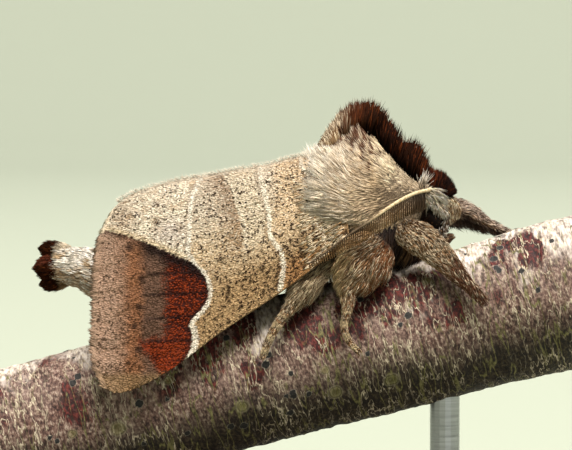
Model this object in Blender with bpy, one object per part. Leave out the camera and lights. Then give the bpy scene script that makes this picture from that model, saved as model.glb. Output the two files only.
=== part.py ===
# Life-size model of a chocolate-tip moth at rest on a cut length of twig, on a small display stand.
# Metres, +Z up. The moth faces +X and its right side is at -Y. The origin is the centre of the
# stand's underside. Places on the moth are in millimetres from the perch point, the top of the
# twig under the middle of the moth.

import math
import random

import bmesh
import bpy
from mathutils import Matrix, Vector

for leftover in list(bpy.data.objects):
    bpy.data.objects.remove(leftover, do_unlink=True)

MM = 0.001
GAP = 0.3 * MM
HALF_GAP = GAP / 2
THIN = 0.5 * MM

# Stand and perch
BASE_LENGTH = 30.0 * MM
BASE_WIDTH = 20.0 * MM
BASE_HEIGHT = 2.5 * MM
BASE_ROUNDING = 0.5 * MM
ROD_DIAMETER = 1.4 * MM
ROD_PLACES = (-6.5 * MM, 7.5 * MM)
SOCKET_DEPTH = 1.2 * MM
TWIG_RADIUS = 3.35 * MM
TWIG_HALF_SPAN = 15.5 * MM
TWIG_SLOPE = math.radians(14.5)
TWIG_CLEARANCE = 2.0 * MM
BUD_SCAR_PLACE = 0.82
BUD_SCAR_RISE = 0.16 * MM

# The roof that the two forewings make over the body
ROOF_HALF_WIDTH_ROOT = 2.75 * MM
ROOF_HALF_WIDTH_TIP = 4.35 * MM
ROOF_ARCH = 0.62
VEIN_HEIGHT = 0.14 * MM
VEIN_HALF_WIDTH = 0.018

# Body and coat
ABDOMEN_RADIUS = 1.38 * MM
EYE_RADIUS = 0.72 * MM
EYE_OUT = 0.92 * MM
COAT_DEPTH = 0.6 * MM
LOCK_WIDTH = 0.7 * MM
LOCK_DEPTH = 0.26 * MM

# Heights of the stand
TWIG_LOW = TWIG_HALF_SPAN * math.tan(TWIG_SLOPE) + TWIG_RADIUS * math.cos(TWIG_SLOPE)
TWIG_AXIS_Z = BASE_HEIGHT + TWIG_CLEARANCE + TWIG_LOW
PERCH = Vector((0.0, 0.0, TWIG_AXIS_Z + TWIG_RADIUS / math.cos(TWIG_SLOPE)))

SIDES = {"right": -1.0, "left": 1.0}
UP = Vector((0.0, 0.0, 1.0))
LEFTWARD = Vector((0.0, 1.0, 0.0))


def material(name, colour, roughness, metallic=0.0):
    made = bpy.data.materials.new(name)
    made.use_nodes = True
    shader = made.node_tree.nodes["Principled BSDF"]
    shader.inputs["Base Color"].default_value = (*colour, 1.0)
    shader.inputs["Roughness"].default_value = roughness
    shader.inputs["Metallic"].default_value = metallic
    return made


FUR = material("grey_brown_fur", (0.42, 0.33, 0.24), 0.9)
DARK_FUR = material("chocolate_fur", (0.07, 0.02, 0.012), 0.9)
WING = material("wing_scales", (0.45, 0.36, 0.25), 0.8)
EYE = material("eye_black", (0.01, 0.008, 0.007), 0.25)
HORN = material("antenna_brown", (0.24, 0.17, 0.1), 0.6)
LEG = material("leg_scales", (0.5, 0.38, 0.26), 0.85)
BARK = material("twig_bark", (0.32, 0.24, 0.22), 0.8)
STEEL = material("rod_steel", (0.6, 0.6, 0.6), 0.3, 1.0)
BASE = material("base_lacquer", (0.05, 0.045, 0.04), 0.35)


def at(x_mm, y_mm, z_mm):
    """A place on the moth, in millimetres from the perch point."""
    return PERCH + Vector((x_mm, y_mm, z_mm)) * MM


def smooth(points, t):
    """The point at share t of a smooth curve through points, which are spaced by their distances."""
    spans = [max((b - a).length, 1e-9) for a, b in zip(points, points[1:])]
    along = max(0.0, min(1.0, t)) * sum(spans)
    k = 0
    while k < len(spans) - 1 and along > spans[k]:
        along -= spans[k]
        k += 1
    s = along / spans[k]
    a, b = points[k], points[k + 1]
    before = points[k - 1] if k > 0 else a * 2 - b
    after = points[k + 2] if k + 2 < len(points) else b * 2 - a
    tangent_a = (b - before) * (spans[k] / (spans[k] + (a - before).length))
    tangent_b = (after - a) * (spans[k] / (spans[k] + (after - b).length))
    return (
        a * (2 * s**3 - 3 * s**2 + 1)
        + tangent_a * (s**3 - 2 * s**2 + s)
        + b * (3 * s**2 - 2 * s**3)
        + tangent_b * (s**3 - s**2)
    )


# Closed meshes and how they are joined and cut


def finished_object(name, mesh, finish):
    """An object from a closed bmesh, with its faces turned outwards."""
    bmesh.ops.recalc_face_normals(mesh, faces=mesh.faces)
    if mesh.calc_volume(signed=True) < 0:
        bmesh.ops.reverse_faces(mesh, faces=mesh.faces)
    data = bpy.data.meshes.new(name)
    mesh.to_mesh(data)
    mesh.free()
    data.materials.append(finish)
    made = bpy.data.objects.new(name, data)
    bpy.context.scene.collection.objects.link(made)
    return made


def solid(name, rings, finish):
    """A closed mesh through rings of points. A ring of one point is a tip; other ends are capped."""
    mesh = bmesh.new()
    rows = [[mesh.verts.new(p) for p in ring] for ring in rings]
    for low, high in zip(rows, rows[1:]):
        for i in range(max(len(low), len(high))):
            if len(low) == 1:
                mesh.faces.new((low[0], high[(i + 1) % len(high)], high[i]))
            elif len(high) == 1:
                mesh.faces.new((low[i], low[(i + 1) % len(low)], high[0]))
            else:
                j = (i + 1) % len(low)
                mesh.faces.new((low[i], low[j], high[j]))
                mesh.faces.new((low[i], high[j], high[i]))
    if len(rows[0]) > 1:
        mesh.faces.new(list(reversed(rows[0])))
    if len(rows[-1]) > 1:
        mesh.faces.new(rows[-1])
    return finished_object(name, mesh, finish)


def combine(made, operation, operands):
    """Joins the operands to made, cuts them from it or keeps what is inside them. The operands go,
    and made keeps its largest closed surface and its own material."""
    finish = made.data.materials[0]
    group = bpy.data.collections.new(made.name + "_" + operation.lower())
    bpy.context.scene.collection.children.link(group)
    for operand in operands:
        group.objects.link(operand)
    change = made.modifiers.new(operation.lower(), "BOOLEAN")
    change.operation = operation
    change.operand_type = "COLLECTION"
    change.collection = group
    bpy.context.view_layer.update()
    graph = bpy.context.evaluated_depsgraph_get()
    result = bpy.data.meshes.new_from_object(made.evaluated_get(graph))
    made.modifiers.clear()
    for operand in operands:
        bpy.data.objects.remove(operand, do_unlink=True)
    bpy.data.collections.remove(group)
    made.data = result
    made.data.materials.clear()
    made.data.materials.append(finish)
    keep_largest_surface(made)
    return made


def volume_of(faces):
    corners = [[v.co for v in face.verts] for face in faces]
    return sum(a.dot(b.cross(c)) for a, b, c in corners) / 6


def keep_largest_surface(made):
    mesh = bmesh.new()
    mesh.from_mesh(made.data)
    bmesh.ops.remove_doubles(mesh, verts=mesh.verts, dist=1e-7)
    bmesh.ops.triangulate(mesh, faces=mesh.faces)
    left = set(mesh.faces)
    surfaces = []
    while left:
        surface = [left.pop()]
        for face in surface:
            for edge in face.edges:
                for other in edge.link_faces:
                    if other in left:
                        left.remove(other)
                        surface.append(other)
        surfaces.append(surface)
    largest = max(surfaces, key=lambda surface: abs(volume_of(surface)))
    for surface in surfaces:
        if surface is not largest:
            bmesh.ops.delete(mesh, geom=surface, context="FACES")
    for face in mesh.faces:
        face.material_index = 0
    mesh.to_mesh(made.data)
    mesh.free()


# Tubes along a path, and the locks of hair that lie on them


def ellipse_ring(centre, across, up, sides):
    """Points of an ellipse round centre, whose half axes are the vectors across and up."""
    turns = [2 * math.pi * i / sides for i in range(sides)]
    return [centre + across * math.cos(a) + up * math.sin(a) for a in turns]


class Tube:
    """A tube along a smooth path. half_sizes are (across, up) pairs in metres, spaced evenly along
    it, and across stays as near as it can to the tube's flat direction."""

    def __init__(self, path, half_sizes, flat=LEFTWARD):
        self.path = path
        self.sizes = [Vector((a, b)) for a, b in half_sizes]
        self.flat = flat

    def frame(self, t):
        """Centre, direction and the two half axes at share t of the path."""
        ahead = smooth(self.path, min(1.0, t + 0.02)) - smooth(self.path, max(0.0, t - 0.02))
        ahead.normalize()
        across = (self.flat - ahead * ahead.dot(self.flat)).normalized()
        place = t * (len(self.sizes) - 1)
        low = min(int(place), len(self.sizes) - 2)
        size = self.sizes[low].lerp(self.sizes[low + 1], place - low)
        return smooth(self.path, t), ahead, across * size.x, across.cross(ahead) * size.y

    def solid(self, name, finish, sides, steps):
        rings = []
        for k in range(steps + 1):
            centre, _, across, up = self.frame(k / steps)
            rings.append(ellipse_ring(centre, across, up, sides))
        return solid(name, rings, finish)

    def places(self, start, end, rows, per_row):
        """Places for locks, in staggered rows: the point, the way out and the way along."""
        found = []
        for row in range(rows):
            centre, ahead, across, up = self.frame(start + (end - start) * row / max(1, rows - 1))
            for i in range(per_row):
                turn = 2 * math.pi * (i + 0.5 * (row % 2)) / per_row
                arm = across * math.cos(turn) + up * math.sin(turn)
                out = across * (math.cos(turn) / across.length_squared)
                out += up * (math.sin(turn) / up.length_squared)
                found.append((centre + arm, out.normalized(), ahead))
        return found


def lock(root, lie, out, length, width, depth, curl, belly=0.5):
    """A flat, tapered lock of hair that rises off the surface and bends back to lie along it. It is
    widest at the belly, a share of its length."""
    out = (out - lie * out.dot(lie)).normalized()
    across = lie.cross(out)
    rings = []
    for share, wide in ((0.0, 0.8), (belly, 1.0)):
        spine = root + lie * (length * share) + out * (curl * length * math.sin(2.6 * share))
        half = across * (width * wide / 2)
        rings.append([spine - half, spine + out * depth, spine + half])
    rings.append([root + lie * length + out * (curl * length * math.sin(2.6))])
    return solid("lock", rings, FUR)


def coat(places, seed, length, width=LOCK_WIDTH, depth=LOCK_DEPTH, lift=0.16, curl=0.16):
    """Locks at places, each a little different. lift is how far they stand off the surface."""
    draw = random.Random(seed)
    locks = []
    for point, out, lie in places:
        along = (lie - out * lie.dot(out)).normalized()
        along = Matrix.Rotation(draw.uniform(-0.22, 0.22), 3, out) @ along
        along = (along + out * lift * draw.uniform(0.6, 1.4)).normalized()
        root = point - out * (0.45 * depth) - along * (0.15 * length)
        long = length * draw.uniform(0.82, 1.18)
        locks.append(lock(root, along, out, long, width * draw.uniform(0.85, 1.15), depth, curl))
    return locks


# Stand: a lacquered base and two steel pins that plug into it and into the twig


def twig_axis(x):
    """The point of the twig's axis at x. The twig sags a little in the middle."""
    share = x / TWIG_HALF_SPAN
    return Vector((x, 0.0, TWIG_AXIS_Z + x * math.tan(TWIG_SLOPE) + 0.12 * MM * (share**2 - 0.5)))


def twig_radius(x):
    """The twig's radius at x, thicker towards the upper end and swollen at a bud scar."""
    share = x / TWIG_HALF_SPAN
    swelling = BUD_SCAR_RISE * math.exp(-(((share - BUD_SCAR_PLACE) / 0.14) ** 2))
    return TWIG_RADIUS * (1 + 0.02 * share) + swelling


def twig_form(name, grow=0.0):
    """The twig, with a surface that is a little uneven round and along."""
    stations, sides = 12, 18
    up = Vector((-math.sin(TWIG_SLOPE), 0.0, math.cos(TWIG_SLOPE)))
    rings = []
    for k in range(stations + 1):
        x = TWIG_HALF_SPAN * (2 * k / stations - 1)
        ring = []
        for i in range(sides):
            turn = 2 * math.pi * i / sides
            uneven = 1 + 0.012 * math.sin(3 * turn + 0.7 * k) + 0.008 * math.sin(5 * turn - 1.9 * k)
            arm = LEFTWARD * math.cos(turn) + up * math.sin(turn)
            ring.append(twig_axis(x) + arm * (twig_radius(x) * uneven + grow))
        rings.append(ring)
    return solid(name, rings, BARK)


def twig_solid():
    return combine(twig_form("perch_twig"), "DIFFERENCE", [rod_solid("socket", x, GAP) for x in ROD_PLACES])


def rod_solid(name, x, grow=0.0):
    """A pin from a socket in the base to a socket in the twig's underside."""
    radius = ROD_DIAMETER / 2 + grow
    foot = Vector((x, 0.0, BASE_HEIGHT - SOCKET_DEPTH - grow))
    underside = twig_axis(x).z - twig_radius(x) / math.cos(TWIG_SLOPE)
    head = Vector((x, 0.0, underside + SOCKET_DEPTH + grow))
    across, up = Vector((radius, 0.0, 0.0)), Vector((0.0, radius, 0.0))
    return solid(name, [ellipse_ring(end, across, up, 16) for end in (foot, head)], STEEL)


def base_solid():
    half_x, half_y = BASE_LENGTH / 2, BASE_WIDTH / 2
    corners = [Vector((half_x * sx, half_y * sy, 0.0)) for sx, sy in ((-1, -1), (1, -1), (1, 1), (-1, 1))]
    base = solid("stand_base", [corners, [p + UP * BASE_HEIGHT for p in corners]], BASE)
    rounding = base.modifiers.new("rounded_edges", "BEVEL")
    rounding.width = BASE_ROUNDING
    rounding.segments = 2
    graph = bpy.context.evaluated_depsgraph_get()
    base.data = bpy.data.meshes.new_from_object(base.evaluated_get(graph))
    base.modifiers.clear()
    return combine(base, "DIFFERENCE", [rod_solid("socket", x, GAP) for x in ROD_PLACES])


# Wings. Each is drawn as its side view shows it, between four edges, and stands out from the
# middle plane by the arch of the roof. u runs from root to outer edge, v from ridge to lower edge.

DORSUM = ((2.5, 5.9), (0.96, 6.45), (-0.9, 6.05), (-3.2, 5.65), (-5.8, 5.14), (-7.55, 4.5), (-8.25, 3.8))
COSTA = (
    (2.95, 2.85),
    (1.58, 1.58),
    (-0.14, 0.28),
    (-3.16, -1.72),
    (-5.2, -3.25),
    (-6.7, -4.1),
    (-7.86, -4.42),
    (-8.65, -4.0),
)
ROOT = ((2.5, 5.9), (2.95, 2.85))
TERMEN = ((-8.25, 3.8), (-8.8, 2.6), (-9.0, 1.0), (-9.05, -1.0), (-9.08, -2.9), (-8.65, -4.0))
# Each main vein's place between ridge and lower edge, and where it starts along the wing
VEINS = {
    "anal": (0.13, 0.0),
    "cubital_2": (0.27, 0.30),
    "cubital_1": (0.38, 0.0),
    "median_3": (0.47, 0.48),
    "median_2": (0.56, 0.48),
    "median_1": (0.66, 0.48),
    "radial": (0.76, 0.0),
    "subcostal": (0.90, 0.0),
}
CELL_END = 0.48


def flat_point(points, t):
    """smooth() for side-view points given in millimetres."""
    return smooth([Vector((x, z, 0.0)) for x, z in points], t)


def wing_side_view(u, v):
    """The side-view place (x, z) of a point of the wing, in millimetres."""
    corners = (
        flat_point(DORSUM, 0.0) * ((1 - u) * (1 - v))
        + flat_point(COSTA, 0.0) * ((1 - u) * v)
        + flat_point(DORSUM, 1.0) * (u * (1 - v))
        + flat_point(COSTA, 1.0) * (u * v)
    )
    between_long_edges = flat_point(DORSUM, u) * (1 - v) + flat_point(COSTA, u) * v
    between_short_edges = flat_point(ROOT, v) * (1 - u) + flat_point(TERMEN, v) * u
    return between_long_edges + between_short_edges - corners


def roof_half_width(u, v):
    """How far the wing's outer face stands out from the middle plane, in millimetres."""
    ridge = HALF_GAP + THIN + 0.7 * MM * max(0.0, 1 - u / 0.14) ** 1.5
    edge = ROOF_HALF_WIDTH_ROOT + (ROOF_HALF_WIDTH_TIP - ROOF_HALF_WIDTH_ROOT) * min(1.0, u / 0.75)
    return (ridge + (edge - ridge) * v**ROOF_ARCH) / MM


def wing_point(side, u, v):
    place = wing_side_view(u, v)
    return at(place.x, SIDES[side] * roof_half_width(u, v), place.y)


def wing_normal(side, u, v):
    """The outward direction of the wing's face. Near the ridge, where the arch is steepest, it
    stays that of the face just below."""
    step = 0.02
    along = wing_point(side, min(1, u + step), v) - wing_point(side, max(0, u - step), v)
    v = max(v, 0.12)
    down = wing_point(side, u, min(1, v + step)) - wing_point(side, u, v - step)
    normal = along.cross(down).normalized()
    return normal if normal.y * SIDES[side] > 0 else -normal


def vein_rise(u, v):
    """The height of the vein ridges on the wing's outer face."""
    rise = 0.0
    for place, start in VEINS.values():
        if abs(v - place) < 0.002 and u >= start - 0.01:
            rise = VEIN_HEIGHT * min(1.0, 2.2 * (1 - u))
    closes_cell = 0.37 < v < 0.77 and abs(u - CELL_END) < 0.004
    return max(rise, VEIN_HEIGHT) if closes_cell else rise


def sheet(name, columns, rows, outer, inner):
    """A closed sheet from two grids of points, with both faces split along the same diagonals."""
    mesh = bmesh.new()
    grids = [[[mesh.verts.new(face(u, v)) for v in rows] for u in columns] for face in (outer, inner)]
    for grid in grids:
        for near, far in zip(grid, grid[1:]):
            for j in range(len(rows) - 1):
                mesh.faces.new((near[j], far[j], far[j + 1]))
                mesh.faces.new((near[j], far[j + 1], near[j + 1]))
    last_column, last_row = len(columns) - 1, len(rows) - 1
    rim = [(i, 0) for i in range(last_column)] + [(last_column, j) for j in range(last_row)]
    rim += [(i, last_row) for i in range(last_column, 0, -1)] + [(0, j) for j in range(last_row, 0, -1)]
    for (i, j), (k, m) in zip(rim, rim[1:] + rim[:1]):
        mesh.faces.new((grids[0][i][j], grids[0][k][m], grids[1][k][m], grids[1][i][j]))
    bmesh.ops.triangulate(mesh, faces=mesh.faces)
    return finished_object(name, mesh, WING)


def forewing_solid(side):
    columns = [0.0, 0.12, 0.26, 0.4, 0.462, CELL_END, 0.498, 0.64, 0.8, 0.92, 1.0]
    rows = [0.0, 0.05, 1.0]
    for place, _ in VEINS.values():
        rows += [place - VEIN_HALF_WIDTH, place, place + VEIN_HALF_WIDTH]

    def outer(u, v):
        return wing_point(side, u, v) + wing_normal(side, u, v) * vein_rise(u, v)

    def inner(u, v):
        return wing_point(side, u, v) - wing_normal(side, u, v) * THIN

    return sheet("forewing_" + side, columns, sorted(rows), outer, inner)


def wing_clearance(side):
    """A cutter of the forewing's shape, larger by the gap all round."""
    columns = [0.0, 0.08, 0.16, 0.26, 0.38, 0.5, 0.66, 0.82, 1.0]
    rows = [0.0, 0.04, 0.1, 0.2, 0.34, 0.5, 0.66, 0.83, 1.0]

    def place(u, v, off):
        point = wing_point(side, u, v)
        if u in (0.0, 1.0):
            point += (point - wing_point(side, abs(u - 0.04), v)).normalized() * GAP
        if v in (0.0, 1.0):
            point += (point - wing_point(side, u, abs(v - 0.04))).normalized() * GAP
        return point + wing_normal(side, u, v) * off

    def outer(u, v):
        return place(u, v, GAP)

    def inner(u, v):
        return place(u, v, -THIN - GAP)

    return sheet("clearance", columns, rows, outer, inner)


def clear_of_wings(made):
    return combine(made, "DIFFERENCE", [wing_clearance(side) for side in SIDES])


def hindwing_solid(side):
    """The hindwing, folded flat under the lower half of the forewing."""
    depth = THIN + GAP + VEIN_HEIGHT
    columns = [0.36, 0.44, 0.51, 0.58, 0.66, 0.73, 0.81, 0.88]
    rows = [0.0, 0.2, 0.28, 0.36, 0.6, 0.68, 0.76, 1.0]

    def place(u, s, down):
        upper = 0.76 - 0.14 * min(1.0, (u - 0.28) / 0.3)
        v = upper + (0.87 - upper) * s
        return wing_point(side, u - 0.1 * s * u, v) - wing_normal(side, u, v) * down

    def outer(u, s):
        rise = VEIN_HEIGHT * 0.7 if s in (0.28, 0.68) else 0.0
        return place(u, s, depth - rise)

    def inner(u, s):
        return place(u, s, depth + THIN)

    return sheet("hindwing_" + side, columns, rows, outer, inner)


# Where the parts of the body meet, as lines in side view

CREST_LINE = (
    (1.0, 8.9),
    (2.65, 8.45),
    (3.4, 8.1),
    (4.1, 7.7),
    (4.5, 6.95),
    (5.1, 6.3),
    (5.8, 5.5),
    (6.6, 5.05),
    (7.4, 4.75),
)
TAIL_LINE = ((-9.9, -2.0), (-10.3, 0.9), (-10.5, 4.0))
NECK_LINE = ((7.3, 7.4), (6.95, 6.5), (6.7, 5.9), (6.2, 4.6), (5.95, 3.4), (5.95, 1.5))


def side_prism(line, corners, shift):
    """A cutter drawn in side view between a line, moved by shift to its left, and corners."""
    points = [Vector((x, z)) for x, z in line]
    outline = []
    for k, point in enumerate(points):
        ahead = (points[min(k + 1, len(points) - 1)] - points[max(k - 1, 0)]).normalized()
        outline.append(point + Vector((-ahead.y, ahead.x)) * (shift / MM))
    outline += [Vector(corner) for corner in corners]
    return solid("zone", [[at(p.x, y, p.y) for p in outline] for y in (-7, 7)], FUR)


def crest_zone(shift):
    return side_prism(CREST_LINE, ((9.0, 5.0), (9.0, 11.0), (1.0, 11.0)), shift)


def head_zone(shift):
    return side_prism(NECK_LINE, ((10.0, 1.5), (10.0, 7.4)), shift)


def tail_zone(shift):
    return side_prism(TAIL_LINE, ((-13.0, 4.0), (-13.0, -2.0)), shift)


# Thorax and crest. Cross-sections of both together, out to the tips of the coat: x, lowest z,
# highest z, z of the widest part and half width, all in millimetres

THORAX_STATIONS = (
    (1.35, 5.6, 6.7, 6.1, 1.3),
    (1.75, 3.0, 7.3, 4.2, 2.9),
    (2.6, 2.4, 8.5, 4.0, 3.15),
    (3.5, 1.85, 9.2, 4.0, 3.1),
    (4.4, 1.7, 8.95, 4.1, 2.85),
    (5.2, 1.9, 8.0, 4.3, 2.45),
    (6.0, 2.4, 7.1, 4.5, 1.95),
    (6.8, 3.4, 6.3, 4.7, 1.2),
)
# Share of the height above the widest part, and share of the half width there, for a cross-section
# with a tall crest and for a round one
OUTLINE = (
    (0.0, 1.0, 1.0),
    (0.25, 0.95, 0.97),
    (0.45, 0.80, 0.89),
    (0.65, 0.56, 0.76),
    (0.85, 0.36, 0.53),
    (0.95, 0.24, 0.31),
    (1.0, 0.0, 0.0),
)
LIE_CENTRE = (6.47, 4.7)


def outline_width(share, crested):
    """The half width at a share of the height, for a cross-section that is crested by 0 to 1."""
    for (low, tall_low, round_low), (high, tall_high, round_high) in zip(OUTLINE, OUTLINE[1:]):
        if share <= high:
            step = (share - low) / (high - low)
            tall = tall_low + (tall_high - tall_low) * step
            round_ = round_low + (round_high - round_low) * step
            return tall * crested + round_ * (1 - crested)
    return 0.0


def thorax_form(name, finish, grow=0.0):
    """Thorax and crest as one smooth form, out to the tips of the coat and grow beyond."""
    more = grow / MM
    rings = []
    for k, (x, low, high, middle, half) in enumerate(THORAX_STATIONS):
        x += more * ((k == len(THORAX_STATIONS) - 1) - (k == 0))
        crested = max(0.0, min(1.0, (high - 6.6) / 2.4))
        low, high, half = low - more, high + more, half + more
        upper = [(half * outline_width(s, crested), middle + (high - middle) * s) for s, _, _ in OUTLINE]
        ring = [at(x, y, z) for y, z in upper]
        ring += [at(x, -y, z) for y, z in reversed(upper[:-1])]
        for turn in (-150, -120, -90, -60, -30):
            a = math.radians(turn)
            ring.append(at(x, half * math.cos(a), middle + (middle - low) * math.sin(a)))
        rings.append(ring)
    return solid(name, rings, finish)


def thorax_half_width(x, z, grow):
    """The half width of the thorax form at a place in side view, in millimetres, or 0 outside it."""
    for near, far in zip(THORAX_STATIONS, THORAX_STATIONS[1:]):
        if near[0] <= x <= far[0]:
            step = (x - near[0]) / (far[0] - near[0])
            low, high, middle, half = [a + (b - a) * step for a, b in zip(near[1:], far[1:])]
            crested = max(0.0, min(1.0, (high - 6.6) / 2.4))
            low, high, half = low - grow / MM, high + grow / MM, half + grow / MM
            if middle <= z < high:
                return half * outline_width((z - middle) / (high - middle), crested)
            if low < z < middle:
                return half * math.sqrt(1 - ((middle - z) / (middle - low)) ** 2)
    return 0.0


def thorax_surface(side, x, z, grow):
    return at(x, SIDES[side] * thorax_half_width(x, z, grow), z)


def below_crest(x, z):
    for (near_x, near_z), (far_x, far_z) in zip(CREST_LINE, CREST_LINE[1:]):
        if near_x <= x <= far_x:
            return z < near_z + (far_z - near_z) * (x - near_x) / (far_x - near_x) - 0.1
    return False


def thorax_places(grow):
    """Places for locks on both flanks, on arcs round the neck, from which the hair fans out."""
    found = []
    spacing = 0.84
    for arc in range(6):
        reach = 0.9 + spacing * arc
        count = int(math.radians(215) * reach / (spacing * 0.95))
        for i in range(count):
            turn = math.radians(62) + math.radians(215) * (i + 0.5 * (arc % 2)) / count
            x = LIE_CENTRE[0] + reach * math.cos(turn)
            z = LIE_CENTRE[1] + reach * math.sin(turn)
            around = ((x + 0.3, z), (x - 0.3, z), (x, z + 0.3))
            narrowest = min(thorax_half_width(near_x, near_z, grow) for near_x, near_z in around)
            if not below_crest(x, z) or narrowest <= 0.2 or z < 3.2 or x < 2.0:
                continue
            for side, sign in SIDES.items():
                here = thorax_surface(side, x, z, grow)
                forward = thorax_surface(side, x + 0.2, z, grow) - here
                upward = thorax_surface(side, x, z + 0.2, grow) - here
                out = forward.cross(upward).normalized()
                out = out if out.y * sign > 0 else -out
                found.append((here, out, Vector((math.cos(turn), 0.0, math.sin(turn)))))
    return found


def thorax_solid():
    """The thorax, coated in locks that fan back from the neck over the roots of the wings."""
    core = -COAT_DEPTH / 2
    thorax = thorax_form("thorax", FUR, core)
    combine(thorax, "UNION", coat(thorax_places(core), 11, 1.45 * MM, width=1.0 * MM))
    combine(thorax, "DIFFERENCE", [crest_zone(-HALF_GAP)])
    combine(thorax, "DIFFERENCE", [head_zone(-HALF_GAP)])
    return clear_of_wings(thorax)


CREST_ROOTS = ((2.7, 8.3), (3.4, 7.9), (4.0, 7.45), (4.5, 6.75), (5.1, 6.1), (5.8, 5.35), (6.4, 5.0))
CREST_TIPS = ((2.55, 8.8), (3.3, 9.2), (4.1, 9.15), (4.85, 8.4), (5.6, 7.5), (6.25, 7.1), (6.75, 6.4))


def crest_solid():
    """The dark crest: a keel of upright locks, tallest at the back, that lean forward at the front."""
    crest = thorax_form("thorax_crest", DARK_FUR, -COAT_DEPTH)
    draw = random.Random(23)
    locks = []
    stations = 9
    for k in range(stations):
        root, tip = flat_point(CREST_ROOTS, k / (stations - 1)), flat_point(CREST_TIPS, k / (stations - 1))
        for y in (-0.7, 0.0, 0.7):
            stagger = 0.0 if y else 0.18
            foot = at(root.x + stagger, y, root.y - 0.1)
            lean = draw.uniform(-0.1, 0.1)
            top = at(tip.x + stagger + lean, y * 0.8, tip.y - 0.3 * abs(y) + draw.uniform(-0.12, 0.08))
            along = (top - foot).normalized()
            out = Vector((-0.4, 1.6 * y, 0.2)).normalized()
            locks.append(lock(foot, along, out, (top - foot).length, 0.95 * MM, 0.42 * MM, 0.05, 0.72))
    combine(crest, "UNION", locks)
    combine(crest, "INTERSECT", [crest_zone(HALF_GAP)])
    return combine(crest, "DIFFERENCE", [head_zone(-HALF_GAP)])


# Abdomen and tail


def abdomen_solid():
    """The abdomen, ringed by its segments, with a skirt of locks where it leaves the wings."""
    path = [at(0.9, 0, 2.75), at(-2.2, 0, 2.1), at(-5.6, 0, 1.15), at(-8.6, 0, 0.72), at(-10.6, 0, 1.36)]
    radii = [0.7, 0.85, 0.93, 1.0, 1.0, 1.0, 0.97, 0.85, 0.6]
    tube = Tube(path, [(ABDOMEN_RADIUS * r, ABDOMEN_RADIUS * r) for r in radii])
    rings = []
    steps = 12
    for k in range(steps + 1):
        centre, _, across, up = tube.frame(k / steps)
        ringed = 1.0 if k % 2 else 0.94
        rings.append(ellipse_ring(centre, across * ringed, up * ringed, 12))
    abdomen = solid("abdomen", rings, FUR)
    combine(abdomen, "UNION", coat(tube.places(0.84, 0.93, 2, 7), 31, 1.2 * MM, width=1.15 * MM, lift=0.06))
    return combine(abdomen, "DIFFERENCE", [tail_zone(-HALF_GAP)])


TAIL_LOBES = (((-11.4, 0.3, 2.05), 5), ((-11.75, -0.1, 1.25), 6), ((-11.4, 0.1, 0.4), 5))


def tail_tuft_solid():
    """The tail tuft: a short stem that spreads into three lobes of dark locks."""
    stem = Tube([at(-9.6, 0, 1.2), at(-10.9, 0, 1.33), at(-11.2, 0, 1.3)], [(0.75 * MM, 0.75 * MM)] * 3)
    tail = stem.solid("tail_tuft", DARK_FUR, 10, 4)
    locks = coat(stem.places(0.6, 0.6, 1, 7), 41, 0.95 * MM, width=0.8 * MM, lift=0.3)
    draw = random.Random(43)
    for (x, y, z), count in TAIL_LOBES:
        middle = at(x, y, z)
        foot = at(-10.7, y * 0.5, 1.33 + (z - 1.33) * 0.4)
        for i in range(count):
            turn = 2 * math.pi * (i + draw.uniform(-0.2, 0.2)) / count
            spread = 0.42 * MM if i % 3 else 0.12 * MM
            tip = middle + Vector((-0.15 * MM, spread * math.cos(turn), spread * math.sin(turn)))
            along = (tip - foot).normalized()
            out = (tip - middle).normalized()
            locks.append(lock(foot, along, out, (tip - foot).length, 0.7 * MM, 0.36 * MM, 0.1, 0.66))
    combine(tail, "UNION", locks)
    return combine(tail, "INTERSECT", [tail_zone(HALF_GAP)])


# Head, eyes and palps


def eye_solid(side, name=None, grow=0.0):
    mesh = bmesh.new()
    centre = Matrix.Translation(at(6.98, SIDES[side] * EYE_OUT / MM, 3.49))
    bmesh.ops.create_icosphere(mesh, subdivisions=2, radius=EYE_RADIUS + grow, matrix=centre)
    return finished_object(name or "eye_" + side, mesh, EYE)


HEAD_LIE_CENTRE = at(6.5, 0.0, 4.2)


def head_solid():
    """The head: a core with a round tuft of locks on top and locks down the face."""
    path = [at(5.4, 0, 3.9), at(6.4, 0, 4.2), at(7.2, 0, 4.22), at(7.7, 0, 3.95), at(7.95, 0, 3.75)]
    sizes = [(0.6, 0.8), (1.05, 1.1), (1.1, 1.25), (0.85, 1.05), (0.5, 0.7)]
    tube = Tube(path, [(a * MM, b * MM) for a, b in sizes])
    head = tube.solid("head", FUR, 12, 8)
    places = []
    for point, out, _ in tube.places(0.5, 0.86, 3, 8):
        fan = (point - HEAD_LIE_CENTRE).normalized()
        rise = 0.6 if point.z > HEAD_LIE_CENTRE.z + 0.4 * MM else -0.4
        places.append((point, out, fan + UP * rise))
    combine(head, "UNION", coat(places, 58, 0.95 * MM, width=0.85 * MM, lift=0.38))
    combine(head, "INTERSECT", [head_zone(HALF_GAP)])
    clearances = [eye_solid(side, "socket", GAP) for side in SIDES]
    clearances += [palp_tube(side, GAP).solid("clearance", FUR, 8, 3) for side in SIDES]
    return combine(head, "DIFFERENCE", clearances)


def mirrored(side, points):
    """Points given for the right side, moved to a side."""
    return [at(x, y * -SIDES[side], z) for x, y, z in points]


def palp_tube(side, grow=0.0):
    path = mirrored(side, ((7.25, -0.37, 2.5), (7.6, -0.38, 2.48), (8.0, -0.37, 2.62)))
    return Tube(path, [(radius * MM + grow, radius * MM + grow) for radius in (0.22, 0.25, 0.16)])


def palp_solid(side):
    """A short furred palp that points forward under the face."""
    return palp_tube(side).solid("palp_" + side, FUR, 8, 5)


# Antennae: a shaft with two rows of comb teeth, each standing for several of the real ones

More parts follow.
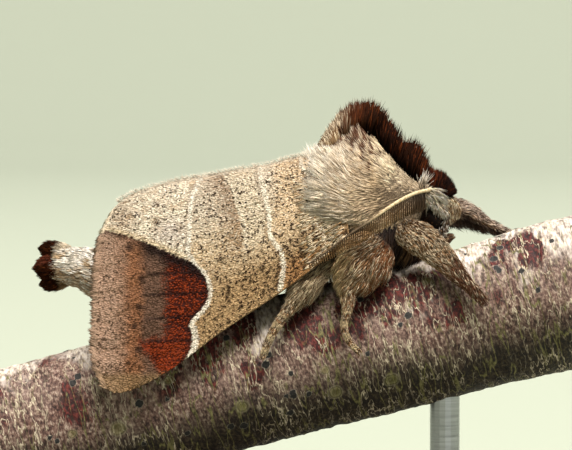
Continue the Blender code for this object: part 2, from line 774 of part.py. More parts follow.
ANTENNA_PATH = (
    (6.75, -1.6, 4.9),
    (5.9, -2.75, 4.72),
    (4.9, -3.35, 4.2),
    (3.9, -3.65, 3.5),
    (2.9, -3.8, 2.85),
    (1.9, -3.9, 2.1),
    (1.0, -4.0, 1.5),
)
SHAFT_RADIUS = 0.25 * MM
COMB_TEETH = 7
TOOTH_LENGTH = 0.85 * MM


def antenna_solid(side):
    sign = SIDES[side]
    tube = Tube(mirrored(side, ANTENNA_PATH), [(SHAFT_RADIUS, SHAFT_RADIUS)] * 3)
    antenna = tube.solid("antenna_" + side, HORN, 6, 12)
    teeth = []
    for k in range(COMB_TEETH):
        t = 0.14 + 0.82 * k / (COMB_TEETH - 1)
        centre, ahead, _, _ = tube.frame(t)
        long = TOOTH_LENGTH * min(1.0, 0.55 + 2.2 * (t - 0.14)) * min(1.0, 0.35 + 1.4 * (1 - t))
        for outward in (0.6, 0.05):
            down = Vector((0.0, sign * outward, -1.0)) + ahead * 0.25
            down = (down - ahead * down.dot(ahead) * 0.5).normalized()
            teeth.append(lock(centre, down, -ahead, long + SHAFT_RADIUS, 0.42 * MM, 0.3 * MM, 0.05))
    return combine(antenna, "UNION", teeth)


# Legs: furred at the top, bare and thin at the foot, along paths given in millimetres

LEG_PATHS = {
    "leg_fore_right": (
        (5.6, -2.1, 3.0),
        (6.5, -2.8, 2.55),
        (7.4, -3.25, 1.7),
        (8.3, -3.65, 0.8),
        (8.8, -3.85, 0.25),
        (9.1, -3.95, -0.2),
    ),
    "leg_fore_left": (
        (5.85, 2.35, 2.2),
        (6.4, 2.8, 2.75),
        (7.5, 2.85, 3.75),
        (8.6, 2.45, 3.7),
        (9.6, 2.05, 3.15),
        (10.5, 1.75, 2.85),
    ),
    "leg_mid_right": (
        (4.4, -2.1, 2.45),
        (3.6, -2.9, 1.5),
        (2.95, -3.3, 0.5),
        (2.85, -3.7, -0.6),
        (2.7, -3.9, -1.4),
        (2.95, -4.0, -2.1),
        (3.4, -4.05, -2.6),
    ),
    "leg_mid_left": (
        (4.4, 2.1, 2.45),
        (3.6, 2.9, 1.5),
        (3.05, 3.3, 0.5),
        (3.0, 3.7, -0.6),
        (2.9, 3.9, -1.3),
        (3.1, 4.0, -1.9),
        (3.5, 4.05, -2.4),
    ),
    "leg_hind_right": (
        (2.2, -1.3, 1.8),
        (1.3, -2.0, 0.9),
        (0.55, -2.95, -0.1),
        (-0.3, -3.6, -1.2),
        (-0.75, -3.85, -1.95),
        (-1.1, -4.0, -2.85),
    ),
    "leg_hind_left": (
        (2.2, 1.3, 1.8),
        (1.3, 2.0, 0.9),
        (0.5, 2.95, -0.2),
        (-0.4, 3.6, -1.3),
        (-0.95, 3.85, -2.0),
        (-1.4, 4.0, -2.9),
    ),
}
# Half depth and half height of each pair's core along its path, in millimetres
LEG_SIZES = {
    "fore": ((0.45, 0.65), (0.5, 0.8), (0.5, 0.75), (0.4, 0.55), (0.3, 0.32), (0.26, 0.26)),
    "mid": ((0.5, 0.95), (0.55, 1.2), (0.5, 1.0), (0.35, 0.38), (0.26, 0.27), (0.26, 0.26), (0.26, 0.26)),
    "hind": ((0.35, 0.4), (0.4, 0.42), (0.35, 0.4), (0.28, 0.28), (0.26, 0.26), (0.26, 0.26)),
}
# Where the coat ends along each leg, its rows, its locks to a row and their length
LEG_COATS = {"fore": (0.72, 4, 4, 1.35 * MM), "mid": (0.46, 4, 4, 1.4 * MM), "hind": (0.45, 2, 3, 1.1 * MM)}
# Shares of the path where a pair of spurs stands on the shin
LEG_SPURS = {"fore": (), "mid": (0.62,), "hind": (0.58, 0.76)}


def leg_solid(name, seed):
    pair = name.split("_")[1]
    tube = Tube([at(*p) for p in LEG_PATHS[name]], [(a * MM, b * MM) for a, b in LEG_SIZES[pair]])
    leg = tube.solid(name, LEG, 8, 9)
    end, rows, per_row, long = LEG_COATS[pair]
    places = tube.places(0.06, end, rows, per_row)
    locks = coat(places, seed, long, width=1.0 * MM, depth=0.2 * MM, lift=0.12)
    for place in LEG_SPURS[pair]:
        centre, ahead, across, up = tube.frame(place)
        for turn in (-0.6, 0.6):
            away = (across * turn - up).normalized()
            along = (ahead + away * 0.8).normalized()
            locks.append(lock(centre, along, away, 0.75 * MM, 0.3 * MM, 0.2 * MM, 0.05))
    combine(leg, "UNION", locks)
    combine(leg, "DIFFERENCE", [thorax_form("clearance", FUR, GAP), twig_form("clearance", GAP)])
    return clear_of_wings(leg)


base_solid()
twig_solid()
rod_solid("stand_rod_rear", ROD_PLACES[0])
rod_solid("stand_rod_front", ROD_PLACES[1])
thorax_solid()
crest_solid()
abdomen_solid()
tail_tuft_solid()
head_solid()
for side in SIDES:
    forewing_solid(side)
    hindwing_solid(side)
    eye_solid(side)
    antenna_solid(side)
    palp_solid(side)
for number, leg_name in enumerate(LEG_PATHS):
    leg_solid(leg_name, 70 + number)
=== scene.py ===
import math

import bmesh
import bpy
import numpy as np
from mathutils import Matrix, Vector, noise
from mathutils.kdtree import KDTree


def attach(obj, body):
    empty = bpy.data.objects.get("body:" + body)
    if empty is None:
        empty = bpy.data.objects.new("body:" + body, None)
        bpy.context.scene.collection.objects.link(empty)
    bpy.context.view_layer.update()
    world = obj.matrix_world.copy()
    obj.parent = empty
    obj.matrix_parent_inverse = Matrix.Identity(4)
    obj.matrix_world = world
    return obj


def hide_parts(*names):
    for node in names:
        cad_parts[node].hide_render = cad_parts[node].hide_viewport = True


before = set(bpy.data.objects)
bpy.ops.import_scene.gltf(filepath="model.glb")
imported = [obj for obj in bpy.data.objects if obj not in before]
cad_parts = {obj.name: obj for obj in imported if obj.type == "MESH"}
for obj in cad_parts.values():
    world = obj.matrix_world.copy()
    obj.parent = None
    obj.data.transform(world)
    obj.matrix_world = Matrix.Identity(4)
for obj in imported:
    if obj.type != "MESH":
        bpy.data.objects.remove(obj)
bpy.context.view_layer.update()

# Twig: a cut length of young wild cherry, about 7 mm thick. Its bark is a thin red skin under a
# silvery film that tears round the stem, with olive algae in the tears. Its underside is painted
# nearly black, in dark olive, as painted shade.
# It is sawn square at both ends and pushed onto the two pins of the stand.

MM = 0.001
BASE_TOP = 2.5
TWIG_CLEARANCE = 2.0
TWIG_RADIUS = 3.35
TWIG_HALF_SPAN = 15.5
TWIG_SLOPE = math.radians(14.5)
TWIG_AXIS_Z = (
    BASE_TOP + TWIG_CLEARANCE + TWIG_HALF_SPAN * math.tan(TWIG_SLOPE) + TWIG_RADIUS * math.cos(TWIG_SLOPE)
)
# The perch point is the top of the twig under the moth. Every place below is in millimetres from it.
PERCH_Z = TWIG_AXIS_Z + TWIG_RADIUS / math.cos(TWIG_SLOPE)


def linear(colour, alpha=1.0):
    """A colour given as an sRGB hex value, as linear red, green, blue and alpha."""
    found = []
    for k in (1, 3, 5):
        c = int(colour[k : k + 2], 16) / 255
        found.append(c / 12.92 if c <= 0.04045 else ((c + 0.055) / 1.055) ** 2.4)
    return (*found, alpha)


def add_node(tree, kind, inputs=None, **settings):
    """A node with its settings, and its inputs set to values or linked to other nodes' outputs."""
    made = tree.nodes.new(kind)
    for name, value in settings.items():
        setattr(made, name, value)
    for key, value in (inputs or {}).items():
        if isinstance(value, bpy.types.NodeSocket):
            tree.links.new(value, made.inputs[key])
        else:
            made.inputs[key].default_value = value
    return made


def new_paint(name, constants):
    """A material with constants set on its shader: the material, its nodes and Object coordinates."""
    paint = bpy.data.materials.new(name)
    paint.use_nodes = True
    tree = paint.node_tree
    for key, value in constants.items():
        tree.nodes["Principled BSDF"].inputs[key].default_value = value
    return paint, tree, add_node(tree, "ShaderNodeTexCoord").outputs["Object"]


def pattern(tree, place, per_mm, stretch=(1.0, 1.0, 1.0), detail=3.0, shift=0.0, roughness=0.5):
    """Noise with so many lumps in a millimetre. A share in stretch below 1 draws it out that way."""
    inputs = {"Vector": place, "Scale": stretch, "Location": (shift, 0, 0)}
    place = add_node(tree, "ShaderNodeMapping", inputs).outputs[0]
    inputs = {"Vector": place, "Scale": 1000 * per_mm, "Detail": detail, "Roughness": roughness}
    return add_node(tree, "ShaderNodeTexNoise", inputs).outputs["Fac"]


def weighted(tree, plus, *terms):
    """A number plus values, each times its factor."""
    for value, factor in terms:
        inputs = {0: value, 1: factor, 2: plus}
        plus = add_node(tree, "ShaderNodeMath", inputs, operation="MULTIPLY_ADD").outputs[0]
    return plus


def masked(tree, masks, share=1.0):
    """A share that fades in, softly, as each mask's value goes from its low to its high."""
    for value, low, high in masks:
        inputs = {"Value": value, "From Min": low, "From Max": high, "To Max": share}
        share = add_node(tree, "ShaderNodeMapRange", inputs, interpolation_type="SMOOTHSTEP").outputs[0]
    return share


def lay(tree, under, value, colours, masks=(), share=1.0, blend="MIX"):
    """Paint laid over paint by a masked share. Its colours are stops over a value, or else one colour."""
    if value is None:
        over = linear(colours)
    else:
        ramp = add_node(tree, "ShaderNodeValToRGB", {"Fac": value})
        elements = ramp.color_ramp.elements
        while len(elements) < len(colours):
            elements.new(0.5)
        for element, (place, colour) in zip(elements, colours):
            element.position = place
            element.color = linear(colour)
        over = ramp.outputs["Color"]
    if under is None:
        return over
    inputs = {0: masked(tree, masks, share), 6: under, 7: over}
    return add_node(tree, "ShaderNodeMix", inputs, data_type="RGBA", blend_type=blend).outputs[2]


def finish(tree, colour, height=None, strength=0.0, depth=0.0, **settings):
    """Links a colour, and a relief of a depth in millimetres, to the material's shader."""
    shader = tree.nodes["Principled BSDF"]
    tree.links.new(colour, shader.inputs["Base Color"])
    if height is not None:
        inputs = {"Height": height, "Strength": strength, "Distance": depth * MM}
        bump = add_node(tree, "ShaderNodeBump", inputs, **settings)
        tree.links.new(bump.outputs["Normal"], shader.inputs["Normal"])


def fix(piece, slot, *stands_for):
    """Fixes a piece to the object's one body and hides the solids it stands for. slot is not used."""
    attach(piece, "root")
    if stands_for:
        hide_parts(*stands_for)


def build(name, points, faces, paint, smooth=True):
    """A mesh object from points in millimetres from the perch and faces of equal length, turned out."""
    a, b, c = (points[faces[:, k]] for k in range(3))
    volume = np.einsum("ij,ij->i", a, np.cross(b, c)).sum()
    if faces.shape[1] == 4:
        d = points[faces[:, 3]]
        volume += np.einsum("ij,ij->i", a, np.cross(c, d)).sum()
    if volume < 0:
        faces = faces[:, ::-1]
    mesh = bpy.data.meshes.new(name)
    mesh.vertices.add(len(points))
    mesh.vertices.foreach_set("co", ((points + [0, 0, PERCH_Z]) * MM).astype(np.float32).ravel())
    mesh.loops.add(faces.size)
    mesh.loops.foreach_set("vertex_index", faces.astype(np.int32).ravel())
    mesh.polygons.add(len(faces))
    starts = np.arange(0, faces.size, faces.shape[1], dtype=np.int32)
    mesh.polygons.foreach_set("loop_start", starts)
    mesh.update(calc_edges=True)
    if smooth:
        mesh.shade_smooth()
    mesh.materials.append(paint)
    made = bpy.data.objects.new(name, mesh)
    bpy.context.scene.collection.objects.link(made)
    return made


def give(made, name, values):
    """A named attribute on the points: one number, or three of a colour, for each."""
    if np.ndim(values) == 1:
        found = made.data.attributes.new(name, "FLOAT", "POINT")
        found.data.foreach_set("value", np.asarray(values, np.float32))
    else:
        found = made.data.attributes.new(name, "FLOAT_COLOR", "POINT")
        rgba = np.hstack([values, np.ones((len(values), 1))])
        found.data.foreach_set("color", rgba.astype(np.float32).ravel())


def grid_faces(rows, columns, closed=False):
    """Quads over a grid of points kept row by row. closed joins the last column to the first."""
    here = np.arange(rows * columns).reshape(rows, columns)
    if closed:
        here = np.hstack([here, here[:, :1]])
    return np.stack([here[:-1, :-1], here[1:, :-1], here[1:, 1:], here[:-1, 1:]], axis=-1).reshape(-1, 4)


def soft(low, high, x):
    """0 below low, 1 above high, and a smooth rise between. low may be above high."""
    s = np.clip((np.asarray(x, float) - low) / (high - low), 0, 1)
    return s * s * (3 - 2 * s)


def cloud(points, size, seed=0.0):
    """Smooth noise from about -1 to 1, whose lumps are about size across."""
    shift = Vector((seed * 3.1, seed * 1.7, -seed * 2.3))
    return np.array([noise.noise(Vector(p) / size + shift) for p in np.asarray(points)])


def bark_material():
    """Bark: thin red skin under a torn silvery film with raised threads, dull, streaky and patchy."""
    constants = {"Roughness": 0.7, "Specular IOR Level": 0.3}
    paint, tree, place = new_paint("cherry_bark_weathered", constants)
    place = add_node(tree, "ShaderNodeMapping", {"Vector": place, "Rotation": (0, TWIG_SLOPE, 0)}).outputs[0]
    up, spot, stain, film_and_painted_highlight, ring = (
        add_node(tree, "ShaderNodeAttribute", attribute_name=name).outputs["Fac"]
        for name in ("skyward", "lenticel", "bare_red", "film_and_painted_highlight", "olive_ring")
    )

    def streaks(size, drawn_out, detail, shift=0.0):
        """Noise of a size in millimetres, drawn out round the stem."""
        return pattern(tree, place, 1 / size, (1.0, 1 / drawn_out, 1 / drawn_out), detail, shift, 0.6)

    def threads(size, drawn_out, detail, shift, width):
        """1 on the lines where such a noise is at its middle, 0 away from them."""
        off = weighted(tree, -0.5, (streaks(size, drawn_out, detail, shift), 1.0))
        off = add_node(tree, "ShaderNodeMath", {0: off}, operation="ABSOLUTE").outputs[0]
        return masked(tree, [(off, width, 0.15 * width)])

    fine, grain = streaks(0.13, 1.5, 4.0), streaks(0.17, 3.2, 2.0, 0.9)
    lines, more_lines = threads(0.4, 3.6, 3.0, 0.3, 0.028), threads(0.5, 6.5, 1.5, 0.6, 0.024)
    patches, film = streaks(3.0, 1.3, 3.0, 0.7), streaks(2.2, 1.8, 4.0, 1.9)
    algae = streaks(2.0, 1.8, 3.0, 2.7)

    # Skin: brown, mauve in clouds, and red where the film has gone, in a band and in patches
    brown = ((0.34, "#241512"), (0.45, "#523a33"), (0.55, "#745b50"), (0.66, "#a08e80"))
    mauve = ((0.36, "#48352f"), (0.5, "#725b52"), (0.64, "#988575"))
    red = ((0.36, "#140504"), (0.5, "#3a100d"), (0.64, "#632821"))
    colour = lay(tree, None, fine, brown)
    colour = lay(tree, colour, fine, mauve, [(streaks(1.4, 1.6, 3.0, 4.4), 0.42, 0.6)], 0.8)
    in_band = masked(tree, [(masked(tree, [(up, -0.5, 0.2)], patches), 0.49, 0.6)])
    in_patch = masked(tree, [(weighted(tree, 0.0, (stain, 1.0), (grain, 1.3)), 0.95, 1.25)])
    bare = add_node(tree, "ShaderNodeMath", {0: in_band, 1: in_patch}, operation="MAXIMUM").outputs[0]
    colour = lay(tree, colour, fine, red, share=bare)
    # Film: silvery towards the sky, and thickest along the top ridge, where it is partly painted
    # highlight; torn, with brown gaps. The underside is painted nearly black as shade
    silver = ((0.36, "#8b7f76"), (0.48, "#b3a79c"), (0.6, "#d9cfc4"))
    underside_painted_shade = ((0.36, "#050401"), (0.5, "#120e05"), (0.62, "#2d2610"))
    lifted = weighted(tree, 0.0, (up, 0.34), (film, 1.0), (film_and_painted_highlight, 1.0), (stain, -0.35))
    filmed = masked(tree, [(lifted, 0.7, 0.88)], 0.85)
    colour = lay(tree, colour, grain, silver, share=filmed)
    colour = lay(tree, colour, None, "#24160f", [(grain, 0.43, 0.34)], weighted(tree, 0.72, (filmed, -0.5)))
    skyward = weighted(tree, 0.0, (up, 1.0), (patches, 0.8))
    colour = lay(tree, colour, fine, underside_painted_shade, [(skyward, 0.45, -0.2)], 0.92)
    # Pale raised threads, olive lines of algae, dark breathing pores and olive rings of lichen
    thread, olive = ((0.35, "#6f6250"), (0.6, "#c2b49c")), ((0.35, "#38341a"), (0.6, "#736d45"))
    pore = ((0.2, "#8f897d"), (0.42, "#34312c"), (0.62, "#121212"), (0.9, "#23211f"))
    lichen = ((0.15, "#a59c80"), (0.4, "#4b471f"), (0.55, "#8f8a5c"), (0.85, "#66622f"))
    colour = lay(tree, colour, grain, thread, [(film, 0.34, 0.56)], lines)
    colour = lay(tree, colour, fine, olive, [(algae, 0.4, 0.5)], more_lines)
    colour = lay(tree, colour, spot, pore, [(spot, 0.12, 0.4)])
    colour = lay(tree, colour, ring, lichen, [(ring, 0.05, 0.3)], 0.42)
    finish(tree, colour, weighted(tree, 0.0, (fine, 1.0), (lines, 0.5), (grain, 1.5)), 0.6, 0.07)
    return paint


def cut_wood_material():
    """End grain: pale sawn wood with darker rings and a brown pith, dry and matt."""
    paint, tree, place = new_paint("cherry_end_grain_sawn", {"Roughness": 0.75})
    depth = add_node(tree, "ShaderNodeAttribute", attribute_name="from_pith").outputs["Fac"]
    turned = weighted(tree, 0.0, (depth, 31.0))
    rings = add_node(tree, "ShaderNodeMath", {0: turned}, operation="SINE").outputs[0]
    grain = weighted(tree, 0.0, (pattern(tree, place, 2.5), 1.0), (rings, 0.07))
    colour = lay(tree, None, grain, ((0.3, "#a9793f"), (0.5, "#cda468"), (0.7, "#e2c795")))
    colour = lay(tree, colour, None, "#5a3418", [(depth, 0.13, 0.07)])
    colour = lay(tree, colour, None, "#4a1f19", [(depth, 0.93, 0.96)])
    finish(tree, colour)
    return paint


# Patches where the film is gone: place along the twig, height round it from -1 to 1, and size
BARE_PATCHES = (
    (5.1, 0.75, 1.6), (6.8, 0.7, 1.1), (3.6, 0.5, 1.0), (1.2, 0.62, 1.3), (11.9, 0.8, 1.0),
    (10.6, 0.75, 0.6), (-3.3, 0.5, 1.2), (-1.4, 0.75, 0.9), (-5.0, 0.7, 1.2), (-9.6, 0.3, 0.9),
    (-13.4, 0.6, 0.8), (-1.6, 0.1, 0.7), (8.0, 0.2, 0.6),
)


def twig():
    """The twig's surface: rings of points from the middle of one sawn face to the middle of the other."""
    around, along_stem, lenticels, olive_rings = 210, 340, 130, 20
    face = np.array([0.0, 0.15, 0.45, 0.75, 0.95, 0.985])
    saw_rings = len(face)
    draw = np.random.default_rng(5)
    turn = np.linspace(0, 2 * math.pi, around, endpoint=False)
    at_end = np.ones(saw_rings)
    share = np.concatenate([-at_end, np.linspace(-1, 1, along_stem), at_end])
    reach = np.concatenate([face, np.ones(along_stem), face[::-1]])
    s, a = np.meshgrid(share, turn, indexing="ij")
    x, height = s * TWIG_HALF_SPAN, np.sin(a)

    def lumps(radius, drawn_out, size, seed):
        """Noise on the bark, drawn out round the stem."""
        places = np.stack([x, radius * np.cos(a) / drawn_out, radius * np.sin(a) / drawn_out], -1)
        return cloud(places.reshape(-1, 3), size, seed).reshape(x.shape)

    def away():
        """How far the bark is from a place drawn at random."""
        middle, angle = draw.uniform(-15, 15), draw.uniform(0, 2 * math.pi)
        return np.hypot(x - middle, (np.mod(a - angle + math.pi, 2 * math.pi) - math.pi) * TWIG_RADIUS)

    # Not quite round, a little thicker towards one end, with a swelling where a bud was
    radius = TWIG_RADIUS * (1 + 0.02 * s) + 0.16 * np.exp(-(((s - 0.82) / 0.14) ** 2))
    station = (s + 1) * 6
    radius = radius * (1 + 0.012 * np.sin(3 * a + 0.7 * station) + 0.008 * np.sin(5 * a - 1.9 * station))
    stem = radius
    radius = stem + (0.05 * lumps(stem, 4, 0.5, 0.0) + 0.03 * lumps(stem, 4, 0.2, 4.0)) - 0.03
    pores, lichen, stain = np.zeros((3, *x.shape))
    for _ in range(lenticels):
        off, size = away(), draw.uniform(0.08, 0.17)
        pores = np.maximum(pores, soft(1.25 * size, 0.75 * size, off))
        radius = radius + 0.05 * np.exp(-(((off - size) / (0.35 * size)) ** 2)) - 0.03 * soft(size, 0, off)
    wobble = lumps(stem, 4, 0.25, 9.0)
    for _ in range(olive_rings):
        off, size = away() + 0.1 * wobble, draw.uniform(0.25, 0.5)
        lichen = np.maximum(lichen, soft(size, 0, off))
        radius = radius + 0.02 * np.exp(-(((off - 0.7 * size) / (0.2 * size)) ** 2))
    ragged = 0.5 * lumps(radius, 3, 0.3, 6.0)
    for middle, patch_height, size in BARE_PATCHES:
        off = np.hypot(x - middle, 0.7 * TWIG_RADIUS * (height - patch_height)) + ragged
        stain = np.maximum(stain, soft(size, 0.3 * size, off))

    radius = radius * reach[:, None]
    z = x * math.tan(TWIG_SLOPE) + 0.12 * (s**2 - 0.5) - TWIG_RADIUS / math.cos(TWIG_SLOPE)
    x_turned = x - math.sin(TWIG_SLOPE) * radius * height
    points = np.stack([x_turned, radius * np.cos(a), z + math.cos(TWIG_SLOPE) * radius * height], -1)
    made = build("twig", points.reshape(-1, 3), grid_faces(len(share), around, True), bark_material())
    made.data.materials.append(cut_wood_material())
    # Film thicker towards the right end, thinner towards the left, and thicker along the top ridge, where its
    # paleness is partly painted highlight.
    film = 0.1 * soft(0, 9, x) - 0.12 * soft(-3, -9, x) + 0.14 * soft(0.82, 0.97, height)
    marks = {
        "skyward": height, "lenticel": pores, "bare_red": stain, "olive_ring": lichen, "film_and_painted_highlight": film,
        "from_pith": np.broadcast_to(reach[:, None], x.shape),
    }
    for name, values in marks.items():
        give(made, name, values.ravel())
    sawn = np.zeros((len(share) - 1, around), np.int32)
    sawn[:saw_rings] = 1
    sawn[-saw_rings:] = 1
    made.data.polygons.foreach_set("material_index", sawn.ravel())
    mesh = bmesh.new()
    mesh.from_mesh(made.data)
    bmesh.ops.remove_doubles(mesh, verts=mesh.verts, dist=1e-7)
    mesh.to_mesh(made.data)
    mesh.free()
    return made


fix(twig(), "twig_bark", "perch_twig")

# Stand: a block of stained beech under satin lacquer and two ground steel pins. The pins are
# pressed into drilled sockets in the block and in the twig's underside.


def stand_materials():
    """Stained, lacquered beech, whose grain shows faintly through a satin coat, and ground steel,
    whose fine lines run round each pin."""
    constants = {"Roughness": 0.32, "Coat Weight": 0.5, "Coat Roughness": 0.2}
    wood, tree, place = new_paint("beech_stained_lacquered", constants)
    grain = pattern(tree, place, 1.8, (0.06, 1.0, 1.0), 5.0)
    colour = lay(tree, None, grain, ((0.3, "#1d130d"), (0.52, "#33231a"), (0.7, "#4a3426")))
    finish(tree, colour, grain, 0.15, 0.05)

    steel, tree, place = new_paint("steel_pin_ground", {"Metallic": 1.0})
    lines = pattern(tree, place, 9.0, (0.05, 0.05, 1.0))
    finish(tree, lay(tree, None, lines, ((0.3, "#8b8d8f"), (0.7, "#b9bbbd"))))
    tree.links.new(masked(tree, [(lines, -0.6, 2.0)]), tree.nodes["Principled BSDF"].inputs["Roughness"])
    return wood, steel


stand_wood, stand_steel = stand_materials()
for node_name, finish_paint, slot in (
    ("stand_base", stand_wood, "base_lacquer"),
    ("stand_rod_front", stand_steel, "rod_steel"),
    ("stand_rod_rear", stand_steel, "rod_steel"),
):
    for material_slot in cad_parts[node_name].material_slots:
        material_slot.material = finish_paint

# Skin: thorax, head, abdomen and the six legs as one surface, under the coat. On the real moth it
# is brown chitin that shows only where the hair parts; here it is also darkened as painted shade.
# Places are as they are seen from the side, with the moth's right at -y.

BODY_SLOT = "body_fur"
# Cross-sections of the thorax: x, lowest z, highest z, z of the widest part, half width
THORAX = (
    (1.6, 3.8, 6.3, 4.9, 1.2),
    (1.9, 3.1, 6.9, 4.3, 2.3),
    (2.6, 2.6, 7.6, 4.0, 2.65),
    (3.5, 2.2, 7.8, 4.0, 2.6),
    (4.4, 2.05, 7.1, 4.1, 2.35),
    (5.2, 2.25, 6.1, 4.3, 1.95),
    (6.0, 2.75, 5.4, 4.5, 1.45),
    (6.7, 3.4, 4.95, 4.6, 0.9),
)
# Share of the height above the widest part, and of the half width there, for a crested and a
# round cross-section
OUTLINE = (
    (0.0, 1.0, 1.0),
    (0.25, 0.95, 0.97),
    (0.45, 0.80, 0.89),
    (0.65, 0.58, 0.76),
    (0.85, 0.38, 0.53),
    (0.95, 0.26, 0.31),
    (1.0, 0.0, 0.0),
)
HEAD_PATH = ((5.4, 0, 3.9), (6.4, 0, 4.1), (7.1, 0, 4.05), (7.5, 0, 3.8), (7.7, 0, 3.5))
HEAD_SIZES = ((0.5, 0.6), (0.8, 0.8), (0.85, 0.95), (0.65, 0.85), (0.35, 0.5))
ABDOMEN_PATH = (
    (0.9, 0, 2.75),
    (-2.2, 0, 2.1),
    (-5.6, 0, 1.15),
    (-8.6, 0, 0.8),
    (-9.4, 0, 1.1),
    (-10.7, 0, 1.3),
)
ABDOMEN_SIZES = (
    (0.7, 0.7), (0.95, 0.95), (1.1, 1.1), (1.15, 1.15), (1.15, 1.15), (1.15, 1.2), (1.1, 1.2),
    (0.9, 0.95), (0.75, 0.75),
)
# Each leg's path from hip to claws, and its half sizes (across, up) at even steps along it
LEGS = {
    "fore_right": (
        (5.4, -2.0, 3.0), (6.3, -2.75, 2.6), (7.3, -3.25, 1.75), (8.1, -3.6, 0.9), (8.7, -3.85, 0.3),
        (9.1, -3.95, -0.15),
    ),
    "fore_left": (
        (5.85, 2.2, 2.25), (6.4, 2.8, 2.75), (7.5, 2.85, 3.75), (8.6, 2.45, 3.7), (9.6, 2.05, 3.15),
        (10.5, 1.75, 2.75),
    ),
    "mid_right": (
        (4.4, -2.1, 2.45), (3.6, -2.9, 1.5), (2.95, -3.3, 0.5), (2.85, -3.7, -0.6), (2.7, -3.9, -1.4),
        (2.95, -4.0, -2.1), (3.4, -4.0, -2.6),
    ),
    "mid_left": (
        (4.4, 2.1, 2.45), (3.6, 2.9, 1.5), (3.05, 3.3, 0.5), (3.0, 3.7, -0.6), (2.9, 3.9, -1.3),
        (3.1, 4.0, -1.9), (3.5, 4.0, -2.4),
    ),
    "hind_right": (
        (2.2, -1.3, 1.8), (1.3, -2.0, 0.9), (0.55, -2.95, -0.1), (-0.3, -3.6, -1.2),
        (-0.75, -3.85, -1.95), (-1.1, -4.0, -2.85),
    ),
    "hind_left": (
        (2.2, 1.3, 1.8), (1.3, 2.0, 0.9), (0.5, 2.95, -0.2), (-0.4, 3.6, -1.3), (-0.95, 3.85, -2.0),
        (-1.4, 4.0, -2.9),
    ),
}
LEG_SIZES = {
    "fore": ((0.45, 0.55), (0.5, 0.7), (0.45, 0.6), (0.34, 0.42), (0.2, 0.22), (0.13, 0.13)),
    "mid": ((0.45, 0.8), (0.5, 1.05), (0.45, 0.85), (0.28, 0.3), (0.15, 0.16), (0.13, 0.13), (0.1, 0.1)),
    "hind": ((0.35, 0.4), (0.36, 0.4), (0.3, 0.32), (0.2, 0.2), (0.17, 0.17), (0.12, 0.12)),
}


def along(points, t):
    """Points at shares t of a smooth curve through points, which are spaced by their distances."""
    p = np.asarray(points, float)
    t = np.clip(np.asarray(t, float), 0, 1)
    spans = np.linalg.norm(np.diff(p, axis=0), axis=1)
    ends = np.concatenate([[0], np.cumsum(spans)])
    k = np.clip(np.searchsorted(ends, t * ends[-1], side="right") - 1, 0, len(spans) - 1)
    s = ((t * ends[-1] - ends[k]) / spans[k])[..., None]
    wide = np.vstack([2 * p[0] - p[1], p, 2 * p[-1] - p[-2]])
    span = spans[k][..., None]
    a, b, before, after = wide[k + 1], wide[k + 2], wide[k], wide[k + 3]
    leaving = (b - before) * span / (span + np.linalg.norm(a - before, axis=-1, keepdims=True))
    arriving = (after - a) * span / (span + np.linalg.norm(after - b, axis=-1, keepdims=True))
    return (
        a * (2 * s**3 - 3 * s**2 + 1)
        + leaving * (s**3 - 2 * s**2 + s)
        + b * (3 * s**2 - 2 * s**3)
        + arriving * (s**3 - s**2)
    )


def unit(vectors):
    """Vectors made one long."""
    return vectors / np.maximum(np.linalg.norm(vectors, axis=-1, keepdims=True), 1e-9)


def tube(path, sizes, sides=24, steps=40):
    """Rings of points round a smooth path. Half sizes (across, up) are spaced evenly along it."""
    t = np.linspace(0, 1, steps + 1)
    centre = along(path, t)
    ahead = unit(along(path, t + 0.02) - along(path, t - 0.02))
    across = unit(np.array([0, 1.0, 0]) - ahead * ahead[:, 1:2])
    up = np.cross(across, ahead)
    evenly = np.linspace(0, 1, len(sizes))
    size = [np.interp(t, evenly, [pair[k] for pair in sizes])[:, None, None] for k in (0, 1)]
    turn = np.linspace(0, 2 * math.pi, sides, endpoint=False)[None, :, None]
    return centre[:, None] + across[:, None] * size[0] * np.cos(turn) + up[:, None] * size[1] * np.sin(turn)


def thorax_rings():
    """Cross-sections of the thorax, starting at the middle of the belly and running up its left."""
    shares = [row[0] for row in OUTLINE]
    upper = np.sort(np.concatenate([np.linspace(0, 1, 14), [0.97]]))
    lower = np.linspace(-math.pi, 0, 14)[1:-1]
    rings = []
    for x, low, high, middle, half in along(THORAX, np.linspace(0, 1, 60)):
        crested = min(1.0, max(0.0, (high - 5.2) / 2.0))
        wide = [np.interp(upper, shares, [row[k] for row in OUTLINE]) for k in (1, 2)]
        wide = half * (wide[0] * crested + wide[1] * (1 - crested))
        right = [(x, -w, middle + (high - middle) * s) for w, s in zip(wide, upper)]
        under = [(x, half * math.cos(a), middle + (middle - low) * math.sin(a)) for a in lower]
        left = [(x, -y, z) for x, y, z in right[:-1]]
        rings.append(left + right[::-1] + under)
    return np.array(rings)


SURFACES = {"thorax": thorax_rings()}
SURFACES["head"] = tube(HEAD_PATH, HEAD_SIZES, 28, 40)
SURFACES["abdomen"] = tube(ABDOMEN_PATH, ABDOMEN_SIZES, 28, 80)
TAIL_LOBES = (
    ((-10.1, 0.15, 1.7), (-10.8, 0.2, 1.93), (-11.5, 0.25, 2.05)),
    ((-10.1, -0.1, 1.25), (-10.9, -0.15, 1.2), (-11.75, -0.15, 1.15)),
    ((-10.1, 0.1, 0.9), (-10.75, 0.1, 0.6), (-11.45, 0.1, 0.4)),
)
LOBE_SIZES = (
    (
        (0.35, 0.28), (0.38, 0.3), (0.4, 0.31), (0.42, 0.32), (0.43, 0.32), (0.41, 0.3), (0.33, 0.24),
        (0.1, 0.07),
    ),
    (
        (0.5, 0.42), (0.51, 0.44), (0.52, 0.46), (0.54, 0.48), (0.54, 0.48), (0.51, 0.45), (0.41, 0.36),
        (0.12, 0.1),
    ),
    (
        (0.38, 0.3), (0.39, 0.31), (0.4, 0.32), (0.42, 0.33), (0.43, 0.33), (0.41, 0.31), (0.33, 0.25),
        (0.1, 0.07),
    ),
)
